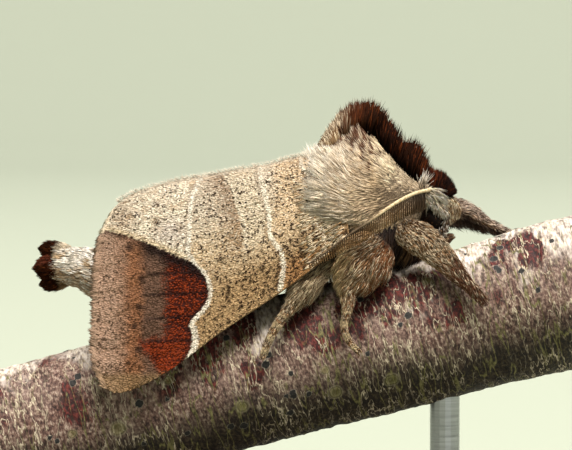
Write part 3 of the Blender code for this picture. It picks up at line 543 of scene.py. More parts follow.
for number, (lobe_path, lobe_sizes) in enumerate(zip(TAIL_LOBES, LOBE_SIZES)):
    SURFACES["lobe_%d" % number] = tube(lobe_path, lobe_sizes, 20, 20)
for side, sign in (("right", -1), ("left", 1)):
    scape = np.array([(6.85, 0.6, 4.35), (6.75, 1.15, 4.68), (6.5, 1.6, 4.82)]) * [1, sign, 1]
    SURFACES["scape_" + side] = tube(scape, ((0.26, 0.26), (0.22, 0.22), (0.14, 0.14)), 16, 16)
for leg, leg_path in LEGS.items():
    SURFACES[leg] = tube(leg_path, LEG_SIZES[leg.split("_")[0]], 20, 60)


def skin_mesh():
    """All the body's surfaces fused into one closed surface of even fineness, in millimetres."""
    fineness, smoothing = 0.09, 3
    mesh = bmesh.new()
    for rings in SURFACES.values():
        rows = [[mesh.verts.new(p) for p in ring] for ring in rings]
        for near, far in zip(rows, rows[1:]):
            for k in range(len(near)):
                mesh.faces.new((near[k - 1], near[k], far[k], far[k - 1]))
        mesh.faces.new(rows[0])
        mesh.faces.new(rows[-1][::-1])
    bmesh.ops.recalc_face_normals(mesh, faces=mesh.faces)
    data = bpy.data.meshes.new("skin_forms")
    mesh.to_mesh(data)
    mesh.free()
    forms = bpy.data.objects.new("skin_forms", data)
    bpy.context.scene.collection.objects.link(forms)
    fused = forms.modifiers.new("fused", "REMESH")
    fused.mode = "VOXEL"
    fused.voxel_size = fineness
    softened = forms.modifiers.new("softened", "SMOOTH")
    softened.iterations = smoothing
    graph = bpy.context.evaluated_depsgraph_get()
    result = bpy.data.meshes.new_from_object(forms.evaluated_get(graph))
    points = np.zeros(len(result.vertices) * 3, np.float32)
    result.vertices.foreach_get("co", points)
    faces = np.zeros(len(result.polygons) * 4, np.int32)
    result.polygons.foreach_get("vertices", faces)
    bpy.data.objects.remove(forms)
    return points.reshape(-1, 3).astype(float), faces.reshape(-1, 4)


# Markings of skin and coat: pigment in the scales themselves. A clear-cut line parts the dark crest
# from the pale flanks. Each colour is laid over the last by a share from 0 to 1.

CREST_LINE = (
    (1.0, 8.9), (2.65, 8.45), (3.4, 8.1), (4.1, 7.7), (4.5, 6.95), (5.1, 6.3), (5.8, 5.5),
    (6.6, 5.05), (7.4, 4.78), (8.4, 4.7),
)


def laid(under, *layers):
    """Colours laid over others, each by its share, row by row."""
    for colour, share in layers:
        under = under + (np.array(linear(colour)[:3]) - under) * np.asarray(share)[:, None]
    return under


def plain(colour, count):
    """One colour for every row."""
    return np.tile(linear(colour)[:3], (count, 1))


def above_crest_line(p):
    """How far a place is above the lower edge of the dark crest."""
    line = np.array(CREST_LINE)
    return p[:, 2] - np.interp(p[:, 0], line[:, 0], line[:, 1])


def body_colour(p):
    """The colours of thorax, head and abdomen at places p."""
    x, _, z = p.T
    patch, above = cloud(p, 0.8, 1), above_crest_line(p)
    on_face = soft(6.6, 7.0, x) * soft(5.1, 4.7, z)
    dark = soft(-0.04, 0.1, above - 0.35 * soft(4.4, 3.5, x) + 0.1 * patch) * soft(2.3, 2.7, x)
    return laid(
        plain("#cdb99c", len(p)),
        ("#b39a78", 0.6 * soft(-0.2, 0.5, patch)),
        ("#bc9a6e", 0.5 * soft(3.7, 2.9, z) * soft(0.0, 1.5, x)),
        ("#decdb0", 0.7 * soft(3.6, 4.8, x)),
        ("#7d6145", 0.75 * soft(4.3, 2.6, x) * soft(6.2, 7.4, z + 0.3 * soft(3.0, 2.0, x))),
        ("#efe1c6", 0.85 * soft(1.2, 0.3, np.abs(above + 0.7)) * soft(3.8, 4.8, x)),
        ("#9c7c58", 0.7 * on_face),
        ("#ead9b8", 0.9 * on_face * soft(0.05, 0.3, cloud(p, 0.5, 2))),
        ("#d8cbb2", soft(0.5, -1.0, x)),
        ("#1f0b06", dark),
        ("#35130c", soft(-10.5, -10.9, x + 0.25 * patch)),
    )


def hair_material(name, gloss, shine, glint=0.3):
    """Hair-like scales of chitin: matt, a little sheen, and painted shade at the root and in the gaps."""
    constants = {
        "Roughness": gloss, "Specular IOR Level": glint, "Sheen Weight": shine, "Sheen Roughness": 0.4,
    }
    paint, tree, place = new_paint(name, constants)
    pigment = add_node(tree, "ShaderNodeAttribute", attribute_name="pigment").outputs["Color"]
    out = add_node(tree, "ShaderNodeAttribute", attribute_name="out").outputs["Fac"]
    grain = pattern(tree, place, 6.0, detail=2.0)
    # Painted shade: the 'out' attribute darkens a hair from its tip (1) to its root (0).
    painted_root_shade, varied = ((0.0, "#4d3f33"), (0.5, "#dcd3c8"), (1.0, "#ffffff")), ((0.3, "#c9c4bf"), (0.7, "#ffffff"))
    colour = lay(tree, pigment, out, painted_root_shade, blend="MULTIPLY")
    finish(tree, lay(tree, colour, grain, varied, share=0.6, blend="MULTIPLY"), grain, 0.3, 0.02)
    return paint


FLESH_NODES = [
    "thorax", "thorax_crest", "head", "abdomen", "tail_tuft", "leg_fore_right", "leg_fore_left",
    "leg_mid_right", "leg_mid_left", "leg_hind_right", "leg_hind_left",
]
skin_points, skin_faces = skin_mesh()
skin = build("skin", skin_points, skin_faces, hair_material("chitin_under_coat", 0.7, 0.0))
# The skin takes the coat's colours at half strength, and an 'out' of 0.3 darkens it further as painted shade.
give(skin, "pigment", body_colour(skin_points) * 0.5)
give(skin, "out", np.full(len(skin_points), 0.3))
fix(skin, BODY_SLOT, *FLESH_NODES)

# Coat: hair-like scales of chitin a millimetre or more long, in locks. They grow from sockets in the
# skin, lie along the body from the head backwards, and overlap like roof tiles.


def spread(rings, count, seed, density=None):
    """Random places on a surface of rings: points, ways out, shares round and along, ways ahead."""
    draw = np.random.default_rng(seed)
    shut = np.concatenate([rings, rings[:, :1]], axis=1)
    p00, p10, p01, p11 = shut[:-1, :-1], shut[1:, :-1], shut[:-1, 1:], shut[1:, 1:]
    weight = np.linalg.norm(np.cross(p10 - p00, p01 - p00), axis=-1)
    if density is not None:
        weight = weight * density(((p11 + p00) / 2).reshape(-1, 3)).reshape(weight.shape)
    total = np.cumsum(weight.ravel())
    cell = np.searchsorted(total, draw.uniform(0, total[-1], count))
    row, column = np.unravel_index(np.minimum(cell, weight.size - 1), weight.shape)
    a, b = draw.uniform(0, 1, (2, count, 1))
    p00, p10, p01, p11 = (corner[row, column] for corner in (p00, p10, p01, p11))
    points = p00 * (1 - a) * (1 - b) + p10 * a * (1 - b) + p01 * (1 - a) * b + p11 * a * b
    out = np.cross(p01 - p00 + p11 - p10, p10 - p00 + p11 - p01)
    inwards = rings.mean(axis=1)[row] - points
    out = unit(np.where((out * inwards).sum(1, keepdims=True) > 0, -out, out))
    places = np.stack([(column + b[:, 0]) / weight.shape[1], (row + a[:, 0]) / weight.shape[0]], 1)
    return points, out, places, unit(p10 - p00 + p11 - p01)


def bake_map(made, places, corners):
    """The OFBake map: the points of each hair or scale lie in a small patch at its root's place."""
    patch_size = 0.003
    patches = np.tile(np.array(corners) * patch_size, (len(places), 1))
    points = np.repeat(places, len(corners), axis=0) + patches
    found = np.zeros(len(made.data.loops), np.int32)
    made.data.loops.foreach_get("vertex_index", found)
    uv = made.data.uv_layers.new(name="OFBake")
    uv.data.foreach_set("uv", points[found].astype(np.float32).ravel())


# So many hairs make a lock, and one hair in so many lies on top of the others, thicker and more raised
LOCK = 9
ONE_ON_TOP = 6
# A hair has three points at its root, three at its middle and one at its tip
HAIR_FACES = np.array((
    (0, 1, 2), (0, 3, 1), (1, 3, 4), (1, 4, 2), (2, 4, 5), (2, 5, 0), (0, 5, 3),
    (3, 6, 4), (4, 6, 5), (5, 6, 3),
))
HAIR_PATCH = ((-0.5, -0.5), (0, -0.5), (0.5, -0.5), (-0.5, 0), (0, 0), (0.5, 0), (0, 0.5))


def hair(name, slot, surface, lies, lengths, width, colours, paint, seed,
         lift=0.25, curl=0.3, clump=0.3, wave=0.3, tips=None):
    """A piece of coat: tapered three-sided hairs with roots, ways out and places on the unwrapped
    skin, drawn together at their tips in locks. lift is how far they leave the surface, curl how far
    they bend back to it, and wave how far the lie wanders."""
    roots, outs, places = surface
    draw = np.random.default_rng(seed)
    count = len(roots)
    flat = unit(lies - outs * (lies * outs).sum(1, keepdims=True))
    turn = cloud(roots, 0.6, seed * 0.37)[:, None] * wave + draw.normal(0, 0.1, (count, 1))
    flat = unit(flat + np.cross(outs, flat) * turn)
    side = np.cross(outs, flat)
    raised = np.reshape(lift, (-1, 1)) * draw.uniform(0.6, 1.4, (count, 1))
    long = lengths[:, None] * draw.uniform(0.75, 1.15, (count, 1))
    ends = roots + long * (flat + outs * raised * (1 - curl) + side * draw.normal(0, 0.06, (count, 1)))
    leaders = np.arange(0, count, LOCK)
    tree = KDTree(len(leaders))
    for leader in leaders:
        tree.insert(roots[leader], int(leader))
    tree.balance()
    nearest = np.array([tree.find(root)[1] for root in roots])
    ends = ends + clump * draw.uniform(0.4, 1.3, (count, 1)) * (ends[nearest] - ends)
    layers = []
    for share, size in ((0.0, 0.8), (0.5, 1.0)):
        middle = roots + (ends - roots) * share + outs * long * raised * share * (1 - share)
        half = np.reshape(width, (-1, 1)) * size / 2 * draw.uniform(0.8, 1.2, (count, 1))
        layers += [middle - side * half, middle + outs * half * 0.8, middle + side * half]
    points = np.stack([*layers, ends], axis=1).reshape(-1, 3)
    faces = (np.arange(count)[:, None, None] * 7 + HAIR_FACES).reshape(-1, 3)
    made = build(name, points, faces, paint)
    lock_shade = draw.uniform(0.72, 1.28, (len(leaders), 1))[nearest // LOCK]
    shade = draw.uniform(0.78, 1.18, (count, 1)) * lock_shade
    shade = shade * (1 + 0.15 * cloud(roots, 0.25, seed + 0.5)[:, None])
    tips = colours if tips is None else tips
    pigment = np.stack([colours] * 3 + [(colours + tips) / 2] * 3 + [tips], axis=1) * shade[:, None]
    give(made, "pigment", np.clip(pigment, 0, 1).reshape(-1, 3))
    # Painted shade along each hair: darkest at the root, lighter at the middle, none at the tip.
    give(made, "out", np.tile([0, 0, 0, 0.55, 0.55, 0.55, 1.0], count))
    bake_map(made, places, HAIR_PATCH)
    fix(made, slot)


thorax_hair = hair_material("thorax_hair_scales", 0.75, 0.04, 0.14)
dark_hair = hair_material("crest_hair_scales", 0.85, 0.0, 0.04)

# Flanks: pale hair that fans back from the neck, longest where it lies over the roots of the wings,
# with a brown shade at the rear and dark hairs among it below the crest.

NECK, SHOULDER = np.array([6.47, 0, 4.7]), np.array([4.3, 0, 3.7])


def flank_density(p):
    return soft(0.3, -0.05, above_crest_line(p) - 0.45 * soft(4.3, 3.5, p[:, 0])) * soft(2.3, 2.7, p[:, 2])


for name, sign, count, seed in (("coat_flank_right", -1, 18000, 3), ("coat_flank_left", 1, 11000, 103)):
    roots, outs, places, _ = spread(
        SURFACES["thorax"], count, seed, lambda p, sign=sign: flank_density(p) * (p[:, 1] * sign > -0.1)
    )
    x, z, above = roots[:, 0], roots[:, 2], above_crest_line(roots)
    chance = np.random.default_rng(seed).uniform(0, 1, count)
    lengths = 0.62 + soft(3.4, 2.2, x) * (0.72 * soft(6.8, 5.8, z) - 0.27)
    lengths = lengths + 0.55 * np.mod(chance * 7.7, 1) * soft(-0.9, 0.0, above) * soft(4.6, 3.8, x)
    lengths = lengths * (1 + 0.35 * soft(3.0, 2.0, x) * np.cos(40 * chance)) * (1 - 0.3 * soft(4.4, 5.8, x))
    back = soft(4.6, 2.4, x)[:, None]
    aims = roots * [1, 0, 1] - (NECK * (1 - back) + SHOULDER * back)
    top = np.arange(count) % ONE_ON_TOP == 0
    at_neck = soft(3.6, 4.8, x)
    at_rear = soft(4.3, 2.9, x) * soft(6.2, 7.3, z)
    rising = 0.7 * soft(-2.1, -0.9, above) * soft(4.6, 3.9, x)
    dark = 0.95 * (np.mod(chance * 13.7, 1) < 0.9 * rising)
    colours = laid(
        body_colour(roots),
        ("#5a3f28", (0.85 - 0.5 * at_neck) * (chance > np.where(top, 0.66, 0.75) + 0.1 * at_neck)),
        ("#8f7353", 0.55 * at_rear),
        ("#f6ecda", (0.85 - 0.45 * at_rear) * (chance < np.where(top, 0.42, 0.24))),
    )
    pale_tips, brown_tips = (0.45 - 0.35 * at_rear) * (chance < 0.6), 0.7 * at_rear * (chance > 0.55)
    tips = laid(colours, ("#f6eddc", pale_tips), ("#5f452e", brown_tips), ("#4a2410", dark))
    outs = unit(outs * [0.25, 1.0, 0.3] + [0, 0.05 * sign, 0])
    lift = np.where(top, 0.36, 0.24) * (1 - 0.55 * np.maximum(rising, at_rear))
    hair(name, BODY_SLOT, (roots, outs, places), aims, lengths, np.where(top, 0.046, 0.038),
         laid(colours, ("#6b401f", dark)), thorax_hair, seed + 1,
         lift=lift, curl=0.6, clump=0.2, wave=0.4, tips=tips)

# Breast: long dark brown hair that hangs back and down between the legs, in the shade of the body.
# It is made long and near-black to fill the gaps between the legs: painted shade over its own brown.

roots, outs, places, _ = spread(SURFACES["thorax"], 5000, 23, lambda p: soft(3.3, 2.9, p[:, 2]))
front = soft(5.0, 6.2, roots[:, 0])
aims = np.stack([-0.6 + 0.4 * front, 0 * front, -0.8 - 0.2 * front], 1)
lengths = 1.2 + 0.5 * front + 2.4 * soft(3.3, 2.5, roots[:, 0])
colours = laid(plain("#2b1c13", len(roots)), ("#6b5139", soft(0.0, 0.5, cloud(roots, 0.3, 8))))
hair("coat_breast", BODY_SLOT, (roots, outs, places), aims, lengths, 0.09, colours, thorax_hair, 24,
     lift=0.7, curl=0.1)

# Crest: upright chocolate-brown hair along the middle of the back, whose tips make three lobes. The
# rear slope is brown and cream. A few fine white hairs stand before it, at the nape.

# Where hairs that stand at the first x end: their tips' x and z
CREST_TOP = np.array((
    (1.65, 1.3, 6.75), (1.95, 1.55, 7.2), (2.3, 1.85, 7.75), (2.6, 2.3, 8.4), (2.9, 2.75, 8.95),
    (3.3, 3.4, 9.25), (3.8, 4.2, 9.2), (4.3, 4.75, 8.8), (4.5, 4.9, 8.4), (4.9, 5.25, 7.95),
    (5.2, 5.6, 7.6), (5.5, 6.0, 7.5), (5.8, 6.35, 7.2), (6.1, 6.65, 6.75), (6.4, 6.85, 6.0),
))
CHOCOLATE_SLOT = "chocolate_fur"


def crest_density(p):
    high = soft(-0.2, 0.05, above_crest_line(p) + 0.3 * soft(4.6, 3.8, p[:, 0])) * soft(2.4, 2.7, p[:, 0])
    ridge = soft(3.6, 3.3, p[:, 0]) * (p[:, 2] > 6.2 + 0.85 * (p[:, 0] - 1.6))
    return np.maximum(high, ridge) * (np.abs(p[:, 1]) < 1.3)


def sideways(roots):
    """The way out to a hair's own side of the body."""
    nothing = 0 * roots[:, 0]
    return unit(np.stack([nothing, np.sign(roots[:, 1]) + 0.01, nothing], 1))


roots, _, places, _ = spread(SURFACES["thorax"], 13000, 13, crest_density)
x, count = roots[:, 0], len(roots)
draw = np.random.default_rng(15)
near = x + draw.normal(0, 0.08, count)
ends = np.stack([np.interp(near, CREST_TOP[:, 0], CREST_TOP[:, k]) for k in (1, 2)], 1)
aims = np.stack([ends[:, 0] - x, 0.2 * roots[:, 1], ends[:, 1] - roots[:, 2]], 1)
lengths = np.linalg.norm(aims, axis=1) * (1 - 0.25 * np.abs(roots[:, 1]))
lengths = lengths * draw.choice([0.6, 0.8, 0.97], count)
rear = soft(4.2, 3.0, x + 0.4 * cloud(roots, 0.3, 3)) * (draw.uniform(0, 1, count) < 0.8)
chance = draw.uniform(0, 1, count)
slope = soft(3.1, 2.3, x + 0.5 * cloud(roots, 0.2, 46))
base = laid(plain("#170800", count), ("#5a3d26", 0.8 * rear), ("#b49a78", slope))
tips = laid(
    plain("#1d0a02", count),
    ("#5e2c10", 0.9 * (chance > 0.84)),
    ("#3d1a0a", 0.7 * soft(3.9, 3.2, x)),
    ("#5f4630", slope * (chance > 0.45)),
    ("#e6d8bc", slope * (chance < 0.4)),
)
hair("coat_crest", CHOCOLATE_SLOT, (roots, sideways(roots), places), unit(aims), lengths, 0.06, base,
     dark_hair, 14, lift=0.1, curl=1.0, clump=0.45, wave=0.15, tips=tips)

tufts = 56
roots = np.stack([
    draw.uniform(6.25, 6.6, tufts), draw.choice([-1, 1], tufts) * draw.uniform(0.9, 1.3, tufts),
    draw.uniform(4.95, 5.15, tufts),
], 1)
aims = np.stack([draw.normal(0.35, 0.3, tufts), roots[:, 1] * 0.3, np.full(tufts, 1.0)], 1)
outs = unit(roots * [0, 1, 0] + [0, 0, 0.2])
hair("coat_nape", BODY_SLOT, (roots, outs, roots[:, :2] * 0.1 + [0, 0.5]), aims,
     draw.uniform(0.45, 0.8, tufts), 0.018, plain("#e9e2d6", tufts), thorax_hair, 47,
     lift=0.2, clump=0.15, wave=0.7)

# Head: a round dark tuft on the crown, with orange-red hairs on its upper rear as painted highlight,
# brown and cream hair on the face, and a cream fan that springs from the root of each antenna and
# hangs over the eye.

EYE_CENTRE = np.array([6.98, 0.92, 3.49])
EYE_RADIUS = 0.72
CROWN = np.array([6.95, 0, 4.0])
roots, outs, places, _ = spread(SURFACES["head"], 11000, 33, lambda p: soft(5.9, 6.3, p[:, 0]))
from_eye = np.linalg.norm(roots * [1, 0, 1] + np.abs(roots) * [0, 1, 0] - EYE_CENTRE, axis=1)
open_eye = from_eye > EYE_RADIUS + 0.03
on_crown = roots[:, 2] > 4.5 - 0.25 * np.abs(roots[:, 1]) + 0.1 * soft(7.2, 7.6, roots[:, 0])

chosen = open_eye & on_crown
r = roots[chosen]
aims = unit(r * [1, 0, 1] - CROWN) + r * [0, 0.4, 0]
lengths = np.interp(r[:, 0], (6.2, 6.6, 7.2, 7.7), (0.85, 0.95, 0.9, 0.4)) * (1 - 0.2 * np.abs(r[:, 1]))
lengths = lengths * (0.5 + 0.5 * soft(4.1, 4.7, r[:, 2]))
chance = np.random.default_rng(36).uniform(0, 1, len(r))
# Painted highlight: orange-red hairs and tips on the crown's upper rear.
crown_painted_glint = soft(0.45, 0.1, np.hypot(r[:, 0] - 6.8, r[:, 2] - 4.95)) * (chance > 0.55)
colours = laid(plain("#140602", len(r)), ("#43200c", 0.8 * (chance > 0.8)), ("#7a3315", 0.5 * crown_painted_glint))
hair("coat_crown", CHOCOLATE_SLOT, (r, sideways(r), places[chosen]), aims, lengths, 0.06, colours,
     dark_hair, 34, lift=0.12, curl=1.0, tips=laid(colours * 0.75, ("#6b2c10", 0.3 * crown_painted_glint)))

chosen = open_eye & ~on_crown
r = roots[chosen]
front = soft(6.9, 7.5, r[:, 0])
aims = np.stack([1.0 - 0.55 * front, 0 * front, -0.75 - 0.5 * front], 1)
strand = 0.4 * cloud(r, 0.18, 6) + np.random.default_rng(37).uniform(0, 1, len(r))
colours = laid(
    plain("#a1835c", len(r)),
    ("#fbf0d8", 0.9 * soft(0.45, 0.6, strand)),
    ("#40291a", 0.8 * soft(0.3, 0.15, strand)),
    ("#33211a", 0.7 * soft(3.9, 3.4, r[:, 2]) * soft(7.6, 7.2, r[:, 0])),
)
hair("coat_face", BODY_SLOT, (r, outs[chosen], places[chosen]), aims, 0.4 - 0.05 * front, 0.045, colours,
     thorax_hair, 35, lift=0.4, curl=0.5, clump=0.4, wave=0.6)

# Lines that tufts stand on: over the eye from the root of the antenna, and round the eye's front rim
BROW_LINE = ((6.45, 1.45, 4.8), (6.75, 1.5, 4.45), (7.05, 1.5, 4.15), (7.35, 1.38, 3.85))
EYE_RIM = ((7.35, 1.35, 3.95), (7.52, 1.28, 3.55), (7.45, 1.3, 3.15), (7.2, 1.35, 2.95))
on_line = 900
for side, sign in (("right", -1), ("left", 1)):
    roots, outs, places, _ = spread(SURFACES["scape_" + side], 800, 38)
    outs = outs * 0.4 + np.array([0.2, 0.7 * sign, 0.6])
    # Each tuft's roots, ways out, places and aim, its least and most length, and its share of brown
    grown = [(roots, outs, places * [1, 0.5], (0.8, -0.78), 0.5, 1.0, 0.0)]
    for line, low, aim, most, brown in (
        (BROW_LINE, 0.5, (0.25, -0.9), 0.6, 0.0), (EYE_RIM, 0.75, (-0.1, -0.9), 0.45, 1.0),
    ):
        t = draw.uniform(0, 1, on_line)
        roots = (along(line, t) + draw.normal(0, 0.07, (on_line, 3))) * [1, sign, 1]
        places = np.stack([t, low + 0.25 * draw.uniform(0, 1, on_line)], 1)
        grown.append((roots, np.tile([0.15, 0.9 * sign, 0.3], (on_line, 1)), places, aim, 0.3, most, brown))
    parts = []
    for roots, outs, places, aim, least, most, brown in grown:
        count = len(roots)
        fanned = draw.normal(0, 0.3, count)
        aims = np.stack([aim[0] + fanned, np.full(count, 0.2 * sign), aim[1] + 0.6 * fanned], 1)
        chance = draw.uniform(0, 1, count)
        # Painted light: the fan's cream is laid very pale, with near-white hairs, brighter than its own
        # cream, for the light its steep face does not catch.
        colours = laid(
            plain("#fff1d6", count),
            ("#fffdf8", soft(0.5, 0.6, chance)),
            ("#8d683d", 0.85 * (chance < 0.24 + 0.4 * brown)),
            ("#3b2414", 0.9 * (chance < 0.12 + 0.28 * brown)),
        )
        parts.append((roots, unit(outs), places, aims, draw.uniform(least, most, count), colours))
    roots, outs, places, aims, lengths, colours = (np.concatenate(rows) for rows in zip(*parts))
    hair("coat_brow_" + side, BODY_SLOT, (roots, outs, places), aims, lengths, 0.036, colours,
         thorax_hair, 39, lift=0.35, curl=0.6, clump=0.8, wave=0.6)

# Legs: short hair along each leg, in long soft locks on the thighs and flat scales on the feet,
# with a pair of spurs or two on each mid and hind shin and two hooked claws on each foot.


def bristle_tree():
    """Geometry Nodes: a tapered, bent bristle on every point, along its aim and as long as its reach."""
    tree = bpy.data.node_groups.new("bristles", "GeometryNodeTree")
    tree.interface.new_socket("Points", in_out="INPUT", socket_type="NodeSocketGeometry")
    for name, kind in (
        ("Width", "Float"), ("Bend", "Float"), ("Blunt", "Float"), ("Unevenness", "Float"), ("Seed", "Int"),
    ):
        tree.interface.new_socket(name, in_out="INPUT", socket_type="NodeSocket" + kind)
    tree.interface.new_socket("Material", in_out="INPUT", socket_type="NodeSocketMaterial")
    tree.interface.new_socket("Bristles", in_out="OUTPUT", socket_type="NodeSocketGeometry")
    given = add_node(tree, "NodeGroupInput").outputs
    line = add_node(tree, "GeometryNodeMeshLine", {"Count": 6, "Offset": (0, 0, 0.2)})
    place = add_node(tree, "GeometryNodeInputPosition").outputs[0]
    height = add_node(tree, "ShaderNodeSeparateXYZ", {0: place}).outputs[2]
    square = add_node(tree, "ShaderNodeMath", {0: height, 1: height}, operation="MULTIPLY").outputs[0]
    aside = add_node(tree, "ShaderNodeMath", {0: square, 1: given["Bend"]}, operation="MULTIPLY").outputs[0]
    bent = add_node(tree, "GeometryNodeSetPosition", {
        "Geometry": line.outputs[0], "Offset": add_node(tree, "ShaderNodeCombineXYZ", {0: aside}).outputs[0],
    })
    # How far up the bristle each point is, stored as 'out' for the painted shade that darkens it towards its
    # root.
    inputs = {"Geometry": bent.outputs[0], "Name": "out", "Value": height}
    marked = add_node(tree, "GeometryNodeStoreNamedAttribute", inputs)
    curve = add_node(tree, "GeometryNodeMeshToCurve", {"Mesh": marked.outputs[0]})
    inputs = {"Value": square, "From Max": 1.0, "To Min": 1.0, "To Max": given["Blunt"]}
    inputs = {0: add_node(tree, "ShaderNodeMapRange", inputs).outputs[0], 1: given["Width"]}
    radius = add_node(tree, "ShaderNodeMath", inputs, operation="MULTIPLY").outputs[0]
    ring = add_node(tree, "GeometryNodeCurvePrimitiveCircle", {"Resolution": 5, "Radius": 0.5})
    solid = add_node(tree, "GeometryNodeCurveToMesh", {
        "Curve": curve.outputs[0], "Profile Curve": ring.outputs[0], "Scale": radius, "Fill Caps": True,
    })
    aim, reach = (
        add_node(tree, "GeometryNodeInputNamedAttribute", {"Name": name}, data_type=kind).outputs[0]
        for name, kind in (("aim", "FLOAT_VECTOR"), ("reach", "FLOAT"))
    )
    turned = add_node(tree, "FunctionNodeAlignRotationToVector", {"Vector": aim}, axis="Z").outputs[0]
    inputs = {0: 1.0, 1: given["Unevenness"]}
    least = add_node(tree, "ShaderNodeMath", inputs, operation="SUBTRACT").outputs[0]
    inputs = {2: least, 3: 1.0, "Seed": given["Seed"]}
    chance = add_node(tree, "FunctionNodeRandomValue", inputs, data_type="FLOAT")
    size = add_node(tree, "ShaderNodeMath", {0: reach, 1: chance.outputs[1]}, operation="MULTIPLY").outputs[0]
    dots = add_node(tree, "GeometryNodeMeshToPoints", {"Mesh": given["Points"]})
    placed = add_node(tree, "GeometryNodeInstanceOnPoints", {
        "Points": dots.outputs[0], "Instance": solid.outputs[0], "Rotation": turned,
        "Scale": add_node(tree, "ShaderNodeCombineXYZ", {0: MM, 1: MM, 2: size}).outputs[0],
    })
    real = add_node(tree, "GeometryNodeRealizeInstances", {"Geometry": placed.outputs[0]})
    inputs = {"Geometry": real.outputs[0], "Material": given["Material"]}
    add_node(tree, "NodeGroupOutput", {0: add_node(tree, "GeometryNodeSetMaterial", inputs).outputs[0]})
    return tree


BRISTLES = bristle_tree()


def bristles(name, slot, roots, aims, reaches, colours, paint, width, bend, blunt, unevenness, seed):
    """Bristles at places in millimetres from the perch, made real by the bristle tree."""
    mesh = bpy.data.meshes.new(name + "_points")
    mesh.from_pydata(((np.asarray(roots) + [0, 0, PERCH_Z]) * MM).tolist(), [], [])
    made = bpy.data.objects.new(name, mesh)
    bpy.context.scene.collection.objects.link(made)
    aim = mesh.attributes.new("aim", "FLOAT_VECTOR", "POINT")
    aim.data.foreach_set("vector", np.asarray(aims, np.float32).ravel())
    give(made, "reach", np.asarray(reaches, np.float32) * MM)
    give(made, "pigment", colours)
    modifier = made.modifiers.new("bristles", "NODES")
    modifier.node_group = BRISTLES
    values = {
        "Width": width, "Bend": bend, "Blunt": blunt, "Unevenness": unevenness, "Seed": seed,
        "Material": paint,
    }
    for item in BRISTLES.interface.items_tree:
        if item.in_out == "INPUT" and item.name in values:
            modifier[item.identifier] = values[item.name]
    graph = bpy.context.evaluated_depsgraph_get()
    grown = bpy.data.meshes.new_from_object(made.evaluated_get(graph))
    made.modifiers.remove(modifier)
    made.data = grown
    grown.name = name
    bpy.data.meshes.remove(mesh)
    grown.shade_smooth()
    fix(made, slot)


LEG_SLOT = "leg_scales"
leg_hair = hair_material("leg_hair_scales", 0.75, 0.04, 0.16)
chitin = hair_material("claw_chitin_bare", 0.4, 0.0, 0.4)
